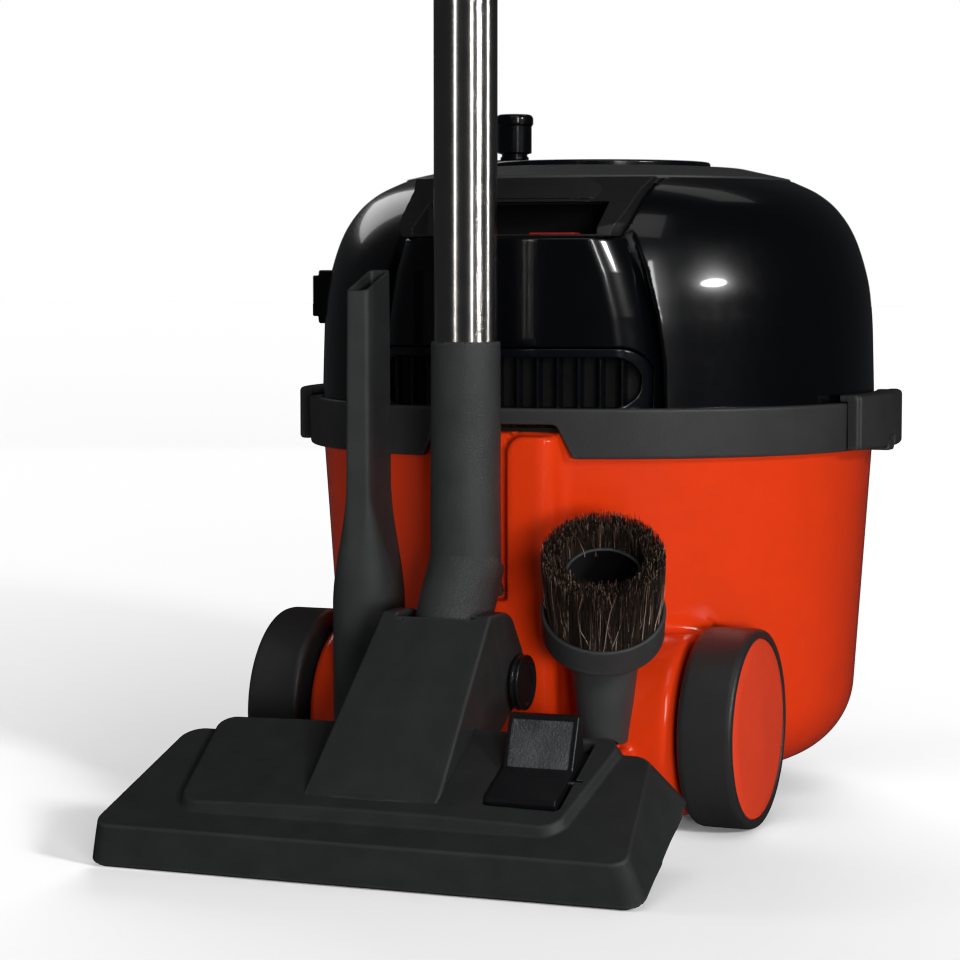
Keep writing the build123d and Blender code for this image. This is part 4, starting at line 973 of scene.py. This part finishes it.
def hairs(name, count, seed, look):
    """Single hairs with three sides each, rooted in the cup's trough."""
    draw = random.Random(seed)
    points, faces, tones_and_glints = [], [], []
    runs = 4
    for _ in range(count):
        angle = draw.uniform(0, 2 * pi)
        root_r = sqrt(draw.uniform((SLEEVE_R + 0.4) ** 2, 28.9 ** 2))
        share = (root_r - SLEEVE_R) / 9
        pale = draw.random() < 0.11
        length = BRISTLE_LENGTH + draw.gauss(0.0, 1.0) + (draw.uniform(-5, 3) if pale else 0)
        splay = 0.05 * share + draw.gauss(0, 0.026)
        swing = draw.gauss(0, 0.14 if pale else 0.05)
        bend = draw.gauss(0, 4.5 if pale else 1.4)
        bend_way = draw.uniform(0, 2 * pi)
        thick = draw.uniform(0.18, 0.30)
        out, around = level(angle), level(angle + pi / 2)
        base = len(points)
        for i in range(runs + 1):
            t = i / runs
            p = out * (root_r + splay * length * t * t) + around * swing * length * t
            p = p + level(bend_way) * bend * sin(pi * t) * t
            p[2] = -7.5 + (length + 7.5) * t
            flat = hypot(p[0], p[1])
            nearest = SLEEVE_R + 0.3 if p[2] < SLEEVE_TOP else 0
            p[:2] *= min(max(flat, nearest), BRUSH_R - 0.7) / flat
            size = thick * (1 - 0.55 * t)
            for k in range(3):
                points.append(p + size * level(angle + k * 2 * pi / 3))
        for i in range(runs):
            for k in range(3):
                a, b = base + 3 * i + k, base + 3 * i + (k + 1) % 3
                faces.append((a, b, b + 3, a + 3))
        tone = draw.uniform(0.93, 1.0) if pale else min(0.9, abs(draw.gauss(0.25, 0.28)))
        # Towards its tip each hair fades to a near-black end; about a fifth of the hairs fade to a pale
        # grey end instead, which is a painted glint.
        tip = draw.uniform(0.75, 0.97) if draw.random() < 0.22 else 0.1
        for i in range(runs + 1):
            tones_and_glints += 3 * [tone + (tip - tone) * (i / runs) ** 4]
    mesh = mesh_of(name, np.array(points), np.array(faces), matrix=BRUSH)
    tones = mesh.attributes.new("hair_shade", "FLOAT", "POINT")
    tones.data.foreach_set("value", np.array(tones_and_glints, np.float32))
    return add(name, mesh, "dusting_brush", "bristle_dark", "bristle_ring", look=look)


hairs("brush_hairs", 6400, 7, bristle_material("bristle"))
turned("brush_core",
       [(SLEEVE_R + 0.1, -7.8), (28.4, -7.8), (28.6, 22.0), (SLEEVE_R + 0.1, 22.0)],
       [0, 0, 2, 2], "dusting_brush", "bristle_dark", matrix=BRUSH, sides=72)


# ---- stage -------------------------------------
def camera():
    data = bpy.data.cameras.new("camera")
    data.sensor_width = 36.0
    data.lens = 110.52
    eye = placed("camera", data)
    eye.location = (0.5552, -1.5723 + TUB_Y * MM, 0.2873)
    eye.rotation_euler = (radians(90 - 4.119), 0, radians(21.734))
    scene.camera = eye


def softbox(name, azimuth, elevation, distance, size, power, shape="RECTANGLE"):
    """An area light that faces the object; azimuth 0 is behind the rear, 90 is to its right."""
    data = bpy.data.lights.new(name, "AREA")
    data.shape = shape
    data.size, data.size_y = size
    data.energy = power
    light = placed(name, data)
    a, e = radians(azimuth), radians(elevation)
    away = Vector((sin(a) * cos(e), -cos(a) * cos(e), sin(e)))
    light.location = Vector((0, -0.02, 0.2)) + away * distance
    light.rotation_euler = away.to_track_quat("Z", "Y").to_euler()
    return light


def only_on(light, *names):
    """Makes a light shine on the named pieces and on nothing else."""
    lit = bpy.data.collections.new("lit_" + light.name)
    for name in names:
        lit.objects.link(bpy.data.objects[name])
    light.light_linking.receiver_collection = lit


WHITE, COOL = (1, 1, 1), (0.9, 0.94, 1)
FLOOR_HALF = 20.0           # in metres


def floor_and_sky():
    """A pale floor that shows only its shadows, and a plain white surround."""
    mesh = bpy.data.meshes.new("floor")
    corners = [(x * FLOOR_HALF, y * FLOOR_HALF, 0) for x, y in ((-1, -1), (1, -1), (1, 1), (-1, 1))]
    mesh.from_pydata(corners, [], [(0, 1, 2, 3)])
    plane = placed("floor", mesh)
    mesh.materials.append(plastic("floor_pale", (0.9, 0.9, 0.9), 0.85, mottle=0.005))
    plane.location.z = -0.0005
    plane.visible_glossy = False
    plane.is_shadow_catcher = True
    world = scene.world = bpy.data.worlds.new("studio")
    world.use_nodes = True
    tree = world.node_tree
    tree.nodes.clear()

    def sky(color, strength):
        return node(tree, "Background", "Background", Color=(*color, 1), Strength=strength)

    def choose(ray, otherwise, then):
        mix = tree.nodes.new("ShaderNodeMixShader")
        ways = (node(tree, "LightPath", ray), otherwise, then)
        for way, socket in zip(ways, mix.inputs):
            tree.links.new(way, socket)
        return mix.outputs[0]

    unseen = choose("Is Glossy Ray", sky(COOL, 0.06), sky(COOL, 0.022))
    out = tree.nodes.new("ShaderNodeOutputWorld")
    tree.links.new(choose("Is Camera Ray", unseen, sky(WHITE, 1.0)), out.inputs["Surface"])


camera()
floor_and_sky()
softbox("spot_right", 71, 21.5, 2.3, (0.44, 0.18), 17, shape="ELLIPSE").visible_diffuse = False
softbox("line_front", 43, 20, 2.6, (0.18, 1.2), 12).visible_diffuse = False
softbox("key_right", 58, 20, 2.3, (0.3, 0.3), 16).visible_glossy = False
softbox("top", 25, 62, 2.2, (1.6, 1.0), 3.5)
softbox("overhead_back", 170, 56, 2.4, (1.2, 0.5), 0.7)
softbox("fill_rear", 32, 1, 3.0, (0.8, 0.4), 52).visible_glossy = False
softbox("fill_front", 200, 15, 3.0, (1.6, 1.0), 34).visible_glossy = False
softbox("fill_left", -70, 10, 3.0, (1.2, 1.0), 10).visible_glossy = False
only_on(softbox("line_left", -16, 20, 2.6, (0.07, 1.2), 10), "wand_steel")
only_on(softbox("line_right", 110, 20, 2.6, (0.07, 1.2), 13), "wand_steel")
only_on(softbox("behind_left", -128, 32, 2.4, (1.2, 1.2), 7),
        "head_dome", "rear_panel", "winder_plate", "cap_plate", "tub_red")
scene.view_settings.view_transform = "Standard"
